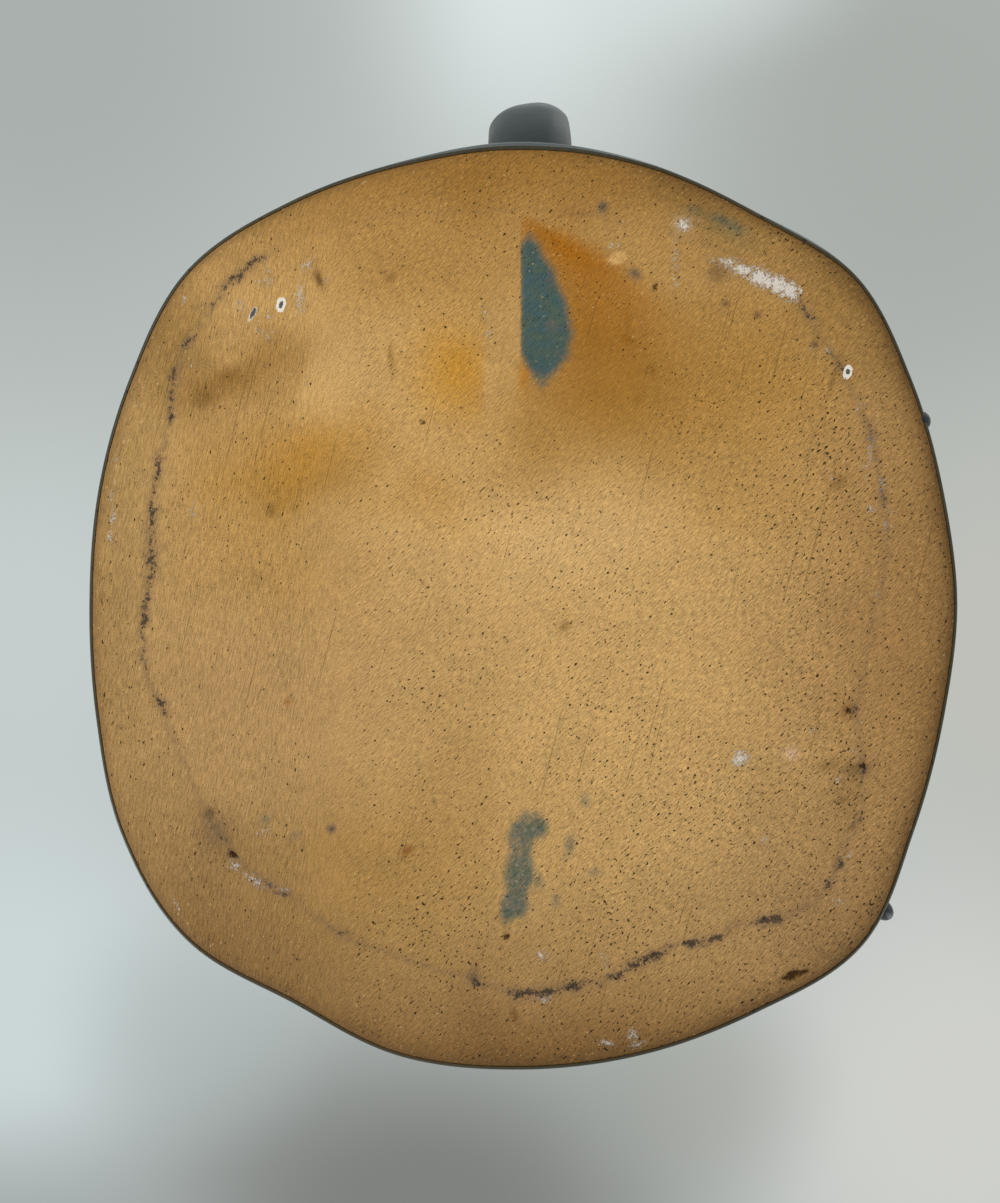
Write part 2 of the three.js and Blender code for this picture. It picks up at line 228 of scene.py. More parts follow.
def raised(rings, height):
    """Rings of points moved along their surface's own normal, the cross product of round and along."""
    along = np.gradient(rings, axis=0)
    around = np.roll(rings, -1, axis=1) - np.roll(rings, 1, axis=1)
    normal = np.cross(around, along)
    length = np.maximum(np.linalg.norm(normal, axis=-1, keepdims=True), 1e-9)
    return rings + normal / length * height[..., None]


# Marks on the bare base, as right and up in millimetres
BLUE_TEARDROP = [  # the outline of the upper stain of blue slip
    (1.2, 54.2), (2.6, 52.5), (3.7, 50.4), (5.0, 48.6), (5.9, 46.0), (6.9, 44.1), (7.4, 41.6), (7.7, 39.4),
    (7.4, 37.6), (7.3, 35.8), (6.0, 34.6), (4.6, 33.0), (2.9, 31.4), (1.3, 32.8), (0.4, 34.8), (-0.6, 36.8),
    (-0.6, 52.1), (0.3, 53.6),
]
BLUE_TEARDROP_LEFT = -0.25  # its straight left side, where it was masked
BLUE_STROKE = [  # the outline of the lower stain
    (0.2, -30.2), (2.4, -30.2), (3.6, -31.8), (3.4, -33.6), (1.6, -34.0), (1.3, -35.9), (1.6, -38.0),
    (1.7, -39.8), (0.7, -41.6), (0.9, -43.6), (0.2, -45.2), (-1.4, -45.6), (-2.4, -46.6), (-2.9, -45.0),
    (-2.9, -43.4), (-2.2, -41.6), (-2.4, -39.6), (-2.0, -37.6), (-1.8, -35.4), (-1.9, -33.6), (-1.2, -31.6),
]
BLUE_WORN = [  # where the slip is rubbed thin: right, up, half width, half height, loss
    (6.4, 40.5, 1.5, 4.5, 0.15), (4.4, 40.6, 1.1, 1.8, 0.3), (5.4, 36.4, 1.6, 1.8, 0.2),
    (4.1, 46.4, 0.9, 2.0, 0.2), (-0.6, -35.8, 2.4, 1.6, 0.1), (0.6, -31.0, 1.6, 0.9, 0.25),
    (-1.4, -41.5, 2.0, 0.7, 0.05), (2.6, 33.4, 1.6, 0.9, 0.3),
]
BLUE_DABS = [  # a few drops: right, up, half length, half width, degrees from level
    (9.3, -28.6, 0.45, 0.6, 0), (6.9, -34.8, 0.7, 1.2, -20), (10.8, -38.7, 0.5, 0.4, 0),
    (2.4, -40.0, 0.5, 0.9, 0), (11.7, 57.7, 0.35, 0.5, 0), (16.3, 48.1, 0.5, 0.4, -30),
    (-37.3, -31.2, 0.6, 0.4, 30), (-33.0, -33.6, 0.4, 0.5, 0), (-53.0, 47.2, 0.5, 0.4, 0),
    (5.0, -43.0, 0.5, 0.7, 0),
]
# Patches of the clay's own tone, flashing, stains and dots, together with painted light and shade: the large
# darker patches along the edges and the bottom are painted shade, and the bright patch in the middle is
# painted light
TONE_AND_SHADE_PATCHES = [  # right, up, half width, half height, degrees of turn, colour, strength
    (57, -4, 20, 50, 0, "#987243", 0.9),
    (-2, 66, 62, 19, 0, "#956a2b", 0.92),
    (48, 46, 12, 16, 35, "#7e5e2f", 0.7),
    (0, -70, 60, 23, 0, "#7f5d35", 0.95),
    (-44, -46, 28, 19, -40, "#7e5f39", 0.85),
    (44, -46, 16, 18, 40, "#8c6c47", 0.6),
    (-62, 0, 13, 50, 0, "#9d7d4b", 0.75),
    (-52, 38, 8, 16, 25, "#8a6732", 0.65),
    (-40, -12, 26, 24, 0, "#a68253", 0.7),
    (-36, 6, 14, 8, 0, "#a88247", 0.7),
    (-32, 18.5, 10, 5, 0, "#9f732d", 0.8),
    (-42, 17, 8, 7, 0, "#a77c39", 0.6),
    (-32, 23.5, 10, 4.5, 8, "#ae7c2c", 0.7),
    (-11, 15, 8, 5, -35, "#af813a", 0.7),
    (-42, 33.5, 9, 3.8, 20, "#8a632a", 0.65),
    (-14, 48, 20, 7, 0, "#a57b3c", 0.5),
    (16, 30, 18, 12, 0, "#9e722f", 0.95),
    (32, 34, 15, 15, 0, "#a57b3b", 0.8),
    (26, 14, 18, 9, 0, "#aa8140", 0.5),
    (2, 22, 7, 7, 0, "#9f7636", 0.55),
    # Painted light: a bright patch in the middle of the base
    (7, 10, 21, 8, 0, "#d4ae74", 0.6),
    (-20, -38, 18, 12, 15, "#9f793e", 0.65),
    (29.2, 54.3, 4.0, 1.4, -18, "#857347", 0.65),
    (25.2, 57.2, 1.5, 0.75, -20, "#5f6450", 0.85),
    (29.0, 55.8, 1.9, 0.8, -12, "#556152", 0.95),
    (31.0, 54.8, 1.5, 0.8, -20, "#626a52", 0.8),
    (28.2, 48.6, 1.7, 1.7, 0, "#6f5238", 0.6),
    (45.3, 33.4, 0.35, 3.6, -17, "#5f421a", 0.6),
    (39.0, -21.5, 0.9, 0.8, 0, "#c7a281", 0.95),
    (47.4, -15.3, 1.2, 1.0, 0, "#6b4417", 0.7),
    (48.5, -23.6, 2.2, 1.1, 10, "#5f4a2a", 0.75),
    (46.6, -28.5, 0.8, 0.25, 25, "#4a3416", 0.8),
    (47.7, -32.2, 0.7, 0.25, 25, "#4a3416", 0.8),
    (47.4, -27.0, 2.6, 4.0, 0, "#8a6c40", 0.5),
    (-27.6, -32.7, 0.55, 0.55, 0, "#2f3d47", 0.95),
    (-46.5, -33.5, 5.0, 4.2, 0, "#86683a", 0.3),
    (23.5, 55.2, 1.4, 1.3, 0, "#c4ab84", 0.6),
    (29.7, 43.7, 0.55, 0.5, 0, "#5b4230", 0.8),
    (34.1, 42.1, 0.6, 0.6, 0, "#5b4230", 0.8),
    (42.6, 37.9, 0.6, 0.6, 0, "#5a4334", 0.8),
    (15.2, 41.8, 0.4, 1.8, 0, "#7d5516", 0.6),
    (16.4, 48.1, 0.75, 0.55, -30, "#54484a", 0.85),
    (11.7, 57.8, 0.6, 0.7, 0, "#463e36", 0.9),
    (8.0, 57.4, 3.5, 0.7, 0, "#8a6336", 0.5),
    (22, 58.5, 8, 4, -20, "#84622f", 0.6),
    (-42.4, 34.0, 2.4, 1.3, 20, "#6f4c1c", 0.6),
    (-46.3, 30.4, 2.0, 1.5, 0, "#6f4c1c", 0.6),
    (-12, 33, 5, 6, 0, "#bc8b3c", 0.5),
    (0.3, 33.4, 0.9, 2.4, 0, "#b27318", 0.7),
    (-19.0, 36.0, 0.35, 2.2, 5, "#694817", 0.6),
    (-16.7, -35.7, 1.0, 0.6, 30, "#7a481a", 0.9),
    (-1.1, -59.6, 0.45, 1.1, 10, "#65441c", 0.8),
    (-7.0, -54.2, 0.8, 1.4, 0, "#4c4038", 0.6),
    (-34.2, -14.3, 0.6, 0.6, 0, "#89531f", 0.7),
    (-45.6, -30.4, 0.9, 0.8, 20, "#4e3a23", 0.8),
    (-44.6, -33.4, 2.4, 2.6, 0, "#755e45", 0.6),
    (-36.5, 13.9, 0.8, 0.9, 0, "#7c5a29", 0.8),
    (15.0, 38.7, 1.4, 0.9, -20, "#6d4a1c", 0.8),
    (18.8, 34.0, 1.0, 0.6, 0, "#75501f", 0.7),
    (16.9, 29.9, 0.6, 0.8, 0, "#7f5923", 0.5),
    (46.0, 17.6, 1.6, 0.9, 20, "#795522", 0.6),
    (44.0, -23.2, 1.6, 0.8, 20, "#795a2c", 0.6),
    (6.3, -3.2, 1.0, 0.7, 20, "#896531", 0.7),
    (-19.0, 47.9, 1.0, 0.6, 30, "#7c5823", 0.6),
    (-29.6, 47.4, 0.5, 1.4, 20, "#54340c", 0.95),
]
CUT_STAINS_AND_SHADE = [  # stains that stop along a scraped line, and painted shade on one side of a crease: as the patches, then the line's place and lean
    (-8.5, 34.5, 5.5, 6, 0, "#b9842c", 0.85, -5.45, 0),
    (-35.5, 33.5, 6, 6.5, 0, "#936c30", 0.45, -31.7, 0.26),
    # Painted shade on the left of a crease down the lower half of the base
    (-8, -28, 8, 24, 0, "#a37e48", 0.36, -4.2, 0.095),
]
FLASH_TOP = [(0.3, 57.0), (12.1, 51.2), (22.0, 44.6), (40.0, 34.0)]  # the upper side of the orange flash
FLASH_WIDE = (10, 40.5, 13, 11, 0)  # its wide soft part, an oval as for the blue dabs
FLASH_BRIGHT = (7, 9, 7)  # its bright part, along the upper side: right, half width, half depth
PALE_CHIP = (13.9, 50.4, 1.533, 0.862, 16.7)  # a chip of paler clay by its upper side, an oval too
JOINT = [  # the line where floor and wall were joined, once round
    (-39.4, 49.8), (-41.5, 48.0), (-43.5, 46.0), (-45.1, 43.9), (-47.3, 40.2), (-48.8, 38.1),
    (-50.0, 35.4), (-50.9, 32.4), (-51.2, 27.5), (-52.0, 24.6), (-53.0, 21.2), (-53.6, 17.1), (-54.2, 9.5),
    (-54.1, 4.3), (-54.9, 0.6), (-55.4, -4.0), (-55.0, -9.5), (-52.5, -15.0), (-49.0, -24.0),
    (-45.6, -31.0), (-42.1, -36.5), (-38.4, -40.0), (-34.4, -42.2), (-26.7, -47.9), (-16.0, -52.0),
    (-6.7, -54.8), (-0.3, -56.7), (2.8, -56.4), (8.3, -55.3), (11.7, -55.0), (13.9, -54.0), (16.1, -52.5),
    (18.5, -51.3), (23.0, -49.4), (28.2, -48.5), (31.0, -46.6), (36.3, -45.8), (41.0, -44.2), (44.7, -40.7),
    (46.1, -37.6), (49.0, -31.0), (49.5, -23.7), (48.5, -15.3), (50.5, -5.0), (52.8, 5.1), (53.2, 10.9),
    (52.1, 18.2), (50.3, 26.2), (48.0, 31.2), (44.8, 37.1), (40.4, 44.3), (30.0, 51.0), (17.0, 55.5),
    (0.0, 57.5), (-17.0, 57.0), (-30.0, 54.5),
]
JOINT_IRON = [  # how much iron and dark slip lies in the joint: right, up, reach, half width of the line
    (-38.4, 50.4, 1.8, 1.1), (-41.0, 48.4, 2.0, 0.95), (-43.3, 46.0, 1.5, 0.5), (-45.2, 43.8, 1.0, 0.7),
    (-48.8, 38.1, 1.6, 0.66), (-50.6, 33.6, 2.0, 0.72), (-51.1, 30.4, 1.0, 0.7), (-51.3, 27.4, 1.2, 1.15),
    (-53.1, 20.0, 2.2, 0.9), (-53.9, 13.5, 3.6, 0.8), (-54.3, 6.5, 3.2, 0.9), (-54.9, 0.6, 1.8, 0.75),
    (-55.2, -2.4, 1.5, 0.75), (-55.3, -7.5, 3.0, 0.5), (-52.5, -14.6, 1.5, 1.1), (-45.4, -32.4, 2.2, 0.5),
    (-42.1, -36.5, 1.0, 0.9), (-37.2, -40.8, 3.0, 0.6), (-34.6, -42.4, 0.8, 0.8), (-26.7, -47.9, 3.0, 0.5),
    (-6.7, -54.8, 1.2, 1.1), (-0.4, -56.6, 1.6, 1.1), (3.2, -56.4, 1.8, 1.2), (7.4, -55.5, 1.6, 0.85),
    (13.9, -54.0, 1.0, 0.9), (16.6, -52.2, 2.2, 0.8), (19.6, -51.0, 1.6, 0.9), (24.8, -49.4, 1.4, 1.0),
    (28.3, -48.5, 1.1, 1.0), (34.8, -46.0, 1.2, 1.0), (36.8, -45.8, 1.4, 1.1), (44.7, -40.7, 0.9, 0.9),
    (46.1, -37.6, 1.0, 1.0), (49.0, -31.0, 1.2, 0.75), (49.5, -23.7, 1.4, 0.85), (48.5, -15.3, 1.0, 0.7),
    (8.0, -55.4, 7.0, 0.3), (24.0, -49.6, 8.0, 0.22), (38.0, -45.4, 5.0, 0.2), (52.6, 16.0, 2.5, 0.7),
    (50.6, 25.0, 2.4, 0.75), (46.0, 35.0, 2.0, 0.7), (41.5, 42.5, 2.0, 0.7),
]
WHITE_DABS = [  # crusts of white glaze, and a few painted glints by the left edge: ovals as for the blue dabs
    (29.8, 49.7, 2.2, 0.8, -10), (32.2, 48.5, 2.8, 1.1, -18), (34.8, 47.4, 3.0, 1.6, -22),
    (37.4, 46.3, 2.8, 1.6, -24), (38.9, 45.5, 2.0, 1.6, -30), (-5.4, 42.8, 0.3, 0.8, 0),
    (-4.8, 39.4, 0.4, 0.4, 0), (48.0, -21.1, 0.45, 0.4, 0), (46.0, -25.4, 0.5, 0.4, 20),
    (51.3, 1.7, 0.45, 0.45, 0), (47.5, -36.3, 0.4, 0.5, 0), (35.1, -34.1, 0.35, 0.6, 0),
    (42.0, 37.4, 0.3, 0.5, 0), (52.6, 11.6, 0.4, 0.7, 0), (49.0, 28.6, 0.35, 0.9, -20),
    (23.5, 55.2, 1.2, 1.1, 0), (22.3, 49.8, 0.3, 2.4, 0), (13.2, 52.1, 0.7, 0.35, 20),
    (31.7, -22.3, 1.6, 1.2, 30), (42.2, -18.3, 0.5, 0.45, 0), (46.0, -42.9, 0.6, 0.45, 0),
    (44.1, 36.8, 0.7, 0.35, 60), (50.5, 22.5, 0.3, 2.6, -8), (50.6, 14.0, 0.6, 0.4, 0),
    (53.2, 13.8, 0.4, 0.5, 0), (52.3, 17.5, 0.35, 1.2, 0), (45.0, 18.6, 0.3, 0.9, 30),
    (2.9, -51.1, 0.9, 0.75, 45), (12.3, -52.0, 1.0, 0.4, -60), (3.4, -57.4, 1.2, 0.4, 0),
    (12.4, -63.7, 1.2, 0.5, -10), (16.2, -62.3, 0.7, 1.1, 0), (16.9, -64.2, 1.1, 0.5, 25),
    # The dabs by the left edge near right -60, up 10 to 21, are painted glints of light
    (-50.4, -44.0, 0.35, 0.75, 30), (-60.0, 16.2, 0.4, 1.0, 0), (-59.7, 12.8, 0.45, 1.2, 0),
    (-60.2, 9.9, 0.5, 0.8, 0), (-59.5, 21.2, 0.35, 0.9, 0), (-48.0, 13.6, 0.35, 0.9, 0),
    (-32.3, 44.6, 0.6, 2.0, 0), (-31.4, 49.4, 1.0, 0.55, 40), (-38.3, 47.2, 0.5, 0.4, 0),
    (-37.0, 47.8, 0.35, 1.2, 10), (-40.9, 43.4, 0.4, 0.9, 20), (-36.9, 42.3, 0.4, 0.5, 0),
    (-38.3, 40.2, 0.35, 0.45, 0), (-36.9, 39.3, 0.35, 0.7, 0), (-49.4, 44.9, 0.45, 0.7, 0),
    (-48.3, 35.2, 0.45, 0.35, 0), (-28.4, 47.4, 0.45, 0.35, 0), (-41.6, -38.0, 0.9, 0.7, -40),
    (-39.0, -40.2, 2.0, 0.6, -38), (-35.0, -41.4, 0.9, 0.4, -30), (-37.6, -33.2, 0.7, 0.3, 30),
    (-53.0, 45.8, 0.4, 0.6, 0), (-33.5, -36.8, 0.3, 0.3, 0),
]
DARK_HOLES = [  # burnt-out grit and a chip by the edge: ovals as for the blue dabs
    (39.5, -53.9, 1.1, 0.75, 10), (41.0, -53.5, 0.7, 0.32, 15), (38.4, -54.3, 0.6, 0.35, -10),
    (-42.1, -36.5, 0.6, 0.45, -20), (-2.1, -48.3, 0.45, 0.35, 30), (49.5, -23.4, 0.5, 0.3, 30),
    (47.4, -15.3, 0.3, 0.3, 0), (19.4, 46.2, 0.3, 0.5, 0), (-14.3, 26.6, 0.4, 0.3, 0),
]
PITTED = [  # where more pits lie together: right, up, half width, half height, how many more
    (-48.5, -15.0, 3.5, 5.5, 0.3), (-46.0, -32.5, 4.0, 3.5, 0.6), (-6.5, -42.0, 1.2, 12.0, 0.35),
    (-17.0, -47.0, 8.0, 4.0, 0.2), (47.0, -24.0, 4.0, 8.0, 0.3), (45.0, 24.0, 5.0, 8.0, 0.2),
    (-60.5, 2.0, 1.6, 7.0, 0.5),
]
COARSE_CORNER = (30, -30, 30, 34, 1)  # where the grain is stronger, a soft spot as for the pits
WIPED_SMOOTH = (12, 36, 14, 13, 1)  # where the clay was wiped smoother, a soft spot too
OPEN_BUBBLES = [  # bubbles with a rim of white glaze: ovals as for the blue dabs, then the rim's reach
    (-35.1, 43.8, 0.5, 0.3, 75, 2.4), (-39.2, 42.5, 0.95, 0.3, 62, 1.3), (47.3, 33.8, 0.5, 0.3, 75, 2.3),
]


def segment_distance(right, up, start, end):
    """Distance to a straight line between two points: the share along it is held from 0 to 1."""
    run, rise = end[0] - start[0], end[1] - start[1]
    t = np.clip(((right - start[0]) * run + (up - start[1]) * rise) / (run * run + rise * rise), 0, 1)
    return np.hypot(right - start[0] - t * run, up - start[1] - t * rise)


def polygon_depth(right, up, corners):
    """Distance into a polygon: the least distance to its sides, less than nothing where a level line to the
    right crosses them an even number of times."""
    nearest = np.full(right.shape, 1e9)
    inside = np.zeros(right.shape, bool)
    for start, end in zip(corners, corners[1:] + corners[:1]):
        nearest = np.minimum(nearest, segment_distance(right, up, start, end))
        spans = (start[1] > up) != (end[1] > up)
        rise = end[1] - start[1] or 1e-9
        inside ^= spans & (right < start[0] + (up - start[1]) * (end[0] - start[0]) / rise)
    return np.where(inside, nearest, -nearest)


def in_oval(right, up, oval):
    """How far out a place lies in an oval, 1 at its edge: turned with it, then over its half sizes."""
    r, u, half_length, half_width, degrees = oval
    c, s = np.cos(np.radians(degrees)), np.sin(np.radians(degrees))
    a = ((right - r) * c + (up - u) * s) / half_length
    b = ((up - u) * c - (right - r) * s) / half_width
    return np.hypot(a, b)


def dab_depth(right, up, dabs):
    """Distance into the nearest of some ovals: 1 less how far out it lies, times the lesser half size."""
    depth = np.full(right.shape, -9.0)
    for oval in dabs:
        depth = np.maximum(depth, (1 - in_oval(right, up, oval)) * min(oval[2:4]))
    return depth


def soft_spots(right, up, spots):
    """Sum of soft oval spots: strength times e to the minus square of the distance over the half sizes."""
    total = np.zeros(right.shape)
    for r, u, half_width, half_height, strength in spots:
        total = total + strength * np.exp(-(((right - r) / half_width) ** 2) - ((up - u) / half_height) ** 2)
    return total


def base_cloud(right, up, square, seed):
    """Soft noise over the base, on a lattice with squares of a given size, some way in from its corner."""
    squares_in = 20
    return cloud(right / square + squares_in, up / square + squares_in, seed)


def mixed(colour, code, share):
    """A field of linear colours mixed towards one hex colour by a field of shares."""
    return colour + (np.array(linear(code)) - colour) * share[..., None]


def clay_tone(right, up, inset):
    """Colour of the clay: a buff ground with soft oval patches, partly its own tone and partly painted shade
    and light, stains cut off along a scraped line, one of them painted shade beside a crease, the orange
    flash under its upper side, sharp by the blue, a pale chip, and painted shade along the rounding edge,
    stronger on the right."""
    tone = np.broadcast_to(np.array(linear("#c29c62")), (*right.shape, 4)).copy()
    stray_right = 2.5 * base_cloud(right, up, 7, 11)
    stray_up = 2.5 * base_cloud(right, up, 7, 12)
    for *oval, code, strength in TONE_AND_SHADE_PATCHES:
        loose = min(oval[2] / 8, 1)
        out = in_oval(right + loose * stray_right, up + loose * stray_up, oval)
        tone = mixed(tone, code, strength * np.exp(-out * out))
    for *oval, code, strength, line, lean in CUT_STAINS_AND_SHADE:
        out = in_oval(right + stray_right, up + stray_up, oval)
        left_of_line = smooth(0.55, -0.55, right - line - lean * (up - oval[1]))
        tone = mixed(tone, code, strength * np.exp(-out * out) * left_of_line)
    below = np.interp(right, *zip(*FLASH_TOP)) - up
    blur = 0.16 * np.maximum(right, 0)
    flashed = smooth(-0.6, 0.8, right) * smooth(-0.2 - blur, 0.9 + blur, below)
    wide = in_oval(right, up, FLASH_WIDE)
    middle, half_width, half_depth = FLASH_BRIGHT
    bright = np.hypot((right - middle) / half_width, below / half_depth)
    tone = mixed(tone, "#956218", 0.85 * flashed * np.exp(-wide * wide))
    tone = mixed(tone, "#9c6008", flashed * np.exp(-bright * bright))
    tone = mixed(tone, "#c99d60", 0.95 * smooth(1.15, 0.8, in_oval(right, up, PALE_CHIP)))
    # Painted shade along the edge where it rounds away, stronger towards the right
    edge_shade = np.clip(np.exp((1.6 - inset) / 2.2), 0, 1) * (0.65 + 0.25 * smooth(-60, 20, right))
    return mixed(tone, "#6a4b20", edge_shade)


def base_relief(right, up, inset):
    """Depth of the base's hollows: slow waves left by the paddle, the pressed joint and holes, less the
    white dabs that stand up: crusts, and a few painted glints."""
    waves = 0.18 + 0.12 * base_cloud(right, up, 26, 21) + 0.05 * base_cloud(right, up, 8, 22)
    seam = 0.1 * np.exp(-((polygon_depth(right, up, JOINT) / 0.9) ** 2))
    holes = 0.5 * smooth(-0.3, 0.4, dab_depth(right, up, DARK_HOLES))
    crust = 0.12 * smooth(-0.3, 0.4, dab_depth(right, up, WHITE_DABS))
    return np.maximum(waves * smooth(0.5, 9, inset) + seam + holes - crust, 0)


def base_fields(right, up, inset):
    """What the clay's material reads at each point: the colour, how deep the point lies in each kind of
    mark, the grain's strength, and how many pits and flecks there are."""
    # Slip thins towards its edge, stops at once on the masked side, and is worn in places
    teardrop = np.minimum(0.6 * polygon_depth(right, up, BLUE_TEARDROP), 3 * (right - BLUE_TEARDROP_LEFT))
    stroke = np.minimum(0.6 * polygon_depth(right, up, BLUE_STROKE) + 0.15, 0.4)
    stains = np.minimum(np.maximum(teardrop, stroke), 0.8) - soft_spots(right, up, BLUE_WORN)
    joint = polygon_depth(right, up, JOINT)
    iron = soft_spots(right, up, [(r, u, reach, reach, width) for r, u, reach, width in JOINT_IRON])

    # Pits are fewer on the left and where the clay was wiped, and more on the right and below
    corner = soft_spots(right, up, [COARSE_CORNER])
    wiped = soft_spots(right, up, [WIPED_SMOOTH])
    pits = 0.84 + 0.02 * corner - 0.4 * wiped - 0.24 * smooth(0, -25, right)
    pits = pits + 0.1 * smooth(15, 45, right) + 0.1 * smooth(0, -30, up)
    pits = pits + 0.25 * base_cloud(right, up, 14, 31) + soft_spots(right, up, PITTED)
    return {
        "tone": clay_tone(right, up, inset),
        "blue": np.maximum(stains, 0.4 * dab_depth(right, up, BLUE_DABS)),
        "joint": joint,
        "iron": np.minimum(iron, 1.1) - 0.55 - 0.5 * smooth(47, 53, up),
        "white": dab_depth(right, up, WHITE_DABS),
        "hole": dab_depth(right, up, DARK_HOLES),
        "grainy": 1.55 + 0.2 * corner - 0.6 * wiped + 0.3 * smooth(10, 40, right),
        "pits": pits,
        "flecks": 0.6 + 0.5 * np.exp(-((joint / 4) ** 2)),
    }


def bare_base(material):
    """The unglazed underside: a square grid drawn out to a disc, x = s sqrt(1 - t^2/2) and
    y = t sqrt(1 - s^2/2), flat to where the foot's edge rounds up as a quarter ellipse, and closed by a fan
    inside the pot."""
    side = 311
    edge_arc = 8.0
    edge_turn = 70
    inside_solid = 0.3
    fan_level = FLOOR_THICKNESS - 3
    grid = np.linspace(-1, 1, side)
    s, t = np.meshgrid(grid, grid, indexing="ij")
    a, b = s * np.sqrt(1 - t * t / 2), t * np.sqrt(1 - s * s / 2)
    angle = np.arctan2(b, a)
    edge = FOOT_RADIUS + paddled_offset(angle) - inside_solid
    flat = edge - EDGE_ROUND
    along = np.hypot(a, b) * (flat + edge_arc)
    turn = np.radians(90 - edge_turn * np.clip((along - flat) / edge_arc, 0, 1))
    radius = np.where(along < flat, along, edge - EDGE_ROUND * (1 - np.cos(turn)))
    z = EDGE_RISE * (1 - np.sin(turn))
    right, up, inset = radius * np.sin(angle), radius * np.cos(angle), edge - radius
    depth = base_relief(right, up, inset)
    radius = radius - depth * np.cos(turn)
    z = z + depth * np.sin(turn)
    points = np.stack([radius * np.cos(angle), radius * np.sin(angle), z], axis=-1).reshape(-1, 3)
    points = np.concatenate([points, [[0, 0, fan_level]]])
    index = np.arange(side * side).reshape(side, side)
    corners = [index[:-1, :-1], index[:-1, 1:], index[1:, 1:], index[1:, :-1]]
    quads = np.stack(corners, axis=-1).reshape(-1, 4)
    rim = np.concatenate([index[:-1, 0], index[-1, :-1], index[:0:-1, -1], index[0, :0:-1]])
    fan = np.stack([rim, np.roll(rim, -1), np.full(len(rim), side * side)], axis=-1)
    fields = {}
    for key, values in base_fields(right, up, inset).items():
        values = values.reshape(side * side, *values.shape[2:])
        fields[key] = np.concatenate([values, values[:1]])
    piece = make_piece("bare_base", points, quads, fan, material, "stoneware", fields)
    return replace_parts(piece, "base_slab")


# The glazed pot

# Sections of the pot's profile, before the inner fillet and the floor
UNDER_CLAY, ROUND_EDGE, OUTER_WALL, LIP, INNER_WALL = range(5)
# Where the glaze runs further down the foot's edge: degrees from the handle to +Y, spread, degrees more
LOW_GLAZE = [(2, 23, 17), (38, 7, 13), (-144, 12, 9), (176, 14, 6), (-80, 40, -2)]


def glaze_line(angle):
    """Where the glaze stops on the foot's round edge, in degrees of the edge's turn from the wall to the
    underside: a wavering line that runs further down in a few places."""
    turns = np.mod(angle, 2 * np.pi) / (2 * np.pi)
    short_waves = cloud(turns * 40, 0.5 + 0 * turns, 41, 40)
    long_waves = cloud(turns * 14, 5.5 + 0 * turns, 42, 14)
    usual = 35.5
    line = usual + 2.5 * short_waves + 3.5 * long_waves
    for middle, spread, more in LOW_GLAZE:
        off = np.mod(np.degrees(angle) - middle + 180, 360) - 180
        line = line + more * np.exp(-((off / spread) ** 2))
    return line


def pot_rows(angle):
    """Rows of the pot's profile at each angle, as radius, height, number of the section and distance from
    the glaze line: from under the clay, out at the glaze line, up the outside, over the rolled lip, down
    the inside and across the floor."""
    line = np.radians(glaze_line(angle))
    hidden = np.array([15.0, 35.0, 52.0])[:, None]
    hidden_level = FLOOR_THICKNESS - 2
    turn = line * (1 - np.linspace(0, 1, 26)[:-1, None] ** 1.4)
    up_wall = np.linspace(EDGE_RISE, lip_joint, 124)[:, None]
    roll = np.linspace(0, np.pi, 20)[1:-1, None]
    middle = (outer_radius(lip_joint) + inner_radius(lip_joint)) / 2
    half = outer_radius(lip_joint) - middle + 2 * LIP_ROLL * np.sin(roll)
    fillet = 2 * SEAM_COIL
    fillet_top = FLOOR_THICKNESS + fillet
    down_wall = np.linspace(lip_joint, fillet_top, 64)[:, None]
    bend = np.linspace(0, np.pi / 2, 10)[1:, None]
    fillet_foot = inner_radius(fillet_top) - fillet
    innermost = 4
    floor_swell = 0.5
    floor_in = np.linspace(fillet_foot, innermost, 14)[1:, None]
    sections = [
        (hidden, 0 * hidden + hidden_level),
        (FOOT_RADIUS - EDGE_ROUND * (1 - np.cos(turn)), EDGE_RISE * (1 - np.sin(turn))),
        (outer_radius(up_wall), up_wall),
        (middle + half * np.cos(roll), lip_joint + LIP_COURSE * np.sin(roll)),
        (inner_radius(down_wall), down_wall),
        (fillet_foot + fillet * np.cos(bend), fillet_top - fillet * np.sin(bend)),
        (floor_in, FLOOR_THICKNESS + floor_swell * smooth(40, 0, floor_in)),
    ]
    columns = angle.shape[1]
    radius = np.concatenate([np.broadcast_to(r, (len(r), columns)) for r, _ in sections])
    z = np.concatenate([np.broadcast_to(level, (len(level), columns)) for _, level in sections])
    section = np.repeat(np.arange(len(sections)), [len(r) for r, _ in sections])[:, None]
    well_away = 9.0
    from_line = np.full(z.shape, well_away)
    from_line[section[:, 0] == ROUND_EDGE] = (line - turn) * EDGE_RISE
    return radius, z, section, from_line


